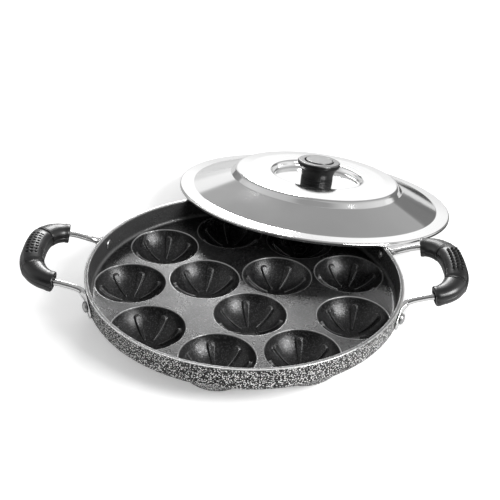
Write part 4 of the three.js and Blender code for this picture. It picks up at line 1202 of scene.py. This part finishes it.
low = room.ramp(way["Z"], LOW_SKY, HIGH_SKY, 1.0, 0.0)
sideways = room.calc("ABSOLUTE", room.split(level)["X"])
beside = room.times(room.ramp(sideways, 0.55, 0.97, 0.0, 1.0), room.ramp(way["Z"], 0.3, 0.97, 0.42, 0.2))
tone = room.calc("ADD", room.ramp(way["Z"], 0.3, 0.95, 0.43, 0.33), beside)
window = room.calc("ADD", towards(86, 10, 16, 0.2), 1.0)
skirting = room.ramp(way["Z"], 0.05, 0.12, 0.76, 1.0)
tone = tone_mix(low, tone, room.times(window, skirting))
tone = tone_mix(towards(-90, 35, 75, room.ramp(way["Z"], 0.45, 0.85, 0.9, 0.0)), tone, 0.03)
tone = tone_mix(towards(52, 13, 20, room.times(low, 0.9)), tone, 0.12)
tone = tone_mix(towards(123, 9, 15, room.times(low, 0.8)), tone, 0.1)
tone = tone_mix(room.ramp(way["Z"], -0.06, -0.01, 1.0, 0.0), tone, 0.03)
tone = tone_mix(room.add("LightPath")["Is Camera Ray"], tone, 1.0)
room.set(Color=tone, Strength=1.0)
print("room nodes:", len(world.node_tree.nodes))

# %% Lamps
AIM = Vector((0.0, 0.0, 0.03))


def add_lamp(name, azimuth, elevation, away, size, power):
    """A soft square lamp in a direction of the room, facing the middle of the object."""
    turn, rise = radians(azimuth), radians(elevation)
    place = Vector((cos(turn) * cos(rise), sin(turn) * cos(rise), sin(rise))) * away
    data = bpy.data.lights.new(name, "AREA")
    data.shape, data.size, data.energy = "SQUARE", size, power
    lamp = bpy.data.objects.new(name, data)
    facing = (AIM - place).to_track_quat("-Z", "Y").to_matrix().to_4x4()
    lamp.matrix_world = Matrix.Translation(place) @ facing
    bpy.context.scene.collection.objects.link(lamp)
    print(name, power, "W")


add_lamp("right_lamp", -36, 36, 1.5, 0.7, 23.0)
add_lamp("back_lamp", 91, 28, 1.8, 0.45, 11.0)

# %% [markdown]
# ## The camera
# The photograph's camera was fitted to the rim and the cavities: it looks down at 31 degrees
# from 68 cm, with a long lens and a slight roll.

# %% Camera and view
FOCAL, DISTANCE, PICTURE, SENSOR = 932.9, 675.8, 500, 36.0
ELEVATION, ROLL, TURN = radians(31.374), radians(2.931), radians(-1.34)
RIM_PIXEL = (244.9, 270.2)
back = np.array((0.0, -cos(ELEVATION), sin(ELEVATION)))
across = np.array((1.0, 0.0, 0.0))
upward = np.array((0.0, sin(ELEVATION), cos(ELEVATION)))
right = across * cos(ROLL) + upward * sin(ROLL)
up = -across * sin(ROLL) + upward * cos(ROLL)
off_x = (RIM_PIXEL[0] - PICTURE / 2) / FOCAL * DISTANCE
off_y = -(RIM_PIXEL[1] - PICTURE / 2) / FOCAL * DISTANCE
eye = back * DISTANCE - right * off_x - up * off_y
spun = [turn_about_axis(v, TURN) for v in (right, up, back)]
place = on_pan(turn_about_axis(eye + UP * RIM_HEIGHT, TURN))
camera_data = bpy.data.cameras.new("camera")
camera_data.sensor_width = SENSOR
camera_data.lens = FOCAL / PICTURE * SENSOR
camera_data.clip_start, camera_data.clip_end = 0.01, 50.0
camera = bpy.data.objects.new("camera", camera_data)
camera.matrix_world = Matrix([*np.c_[np.array(spun).T, place].tolist(), [0, 0, 0, 1]])
bpy.context.scene.collection.objects.link(camera)
bpy.context.scene.camera = camera
bpy.context.scene.view_settings.view_transform = "Standard"
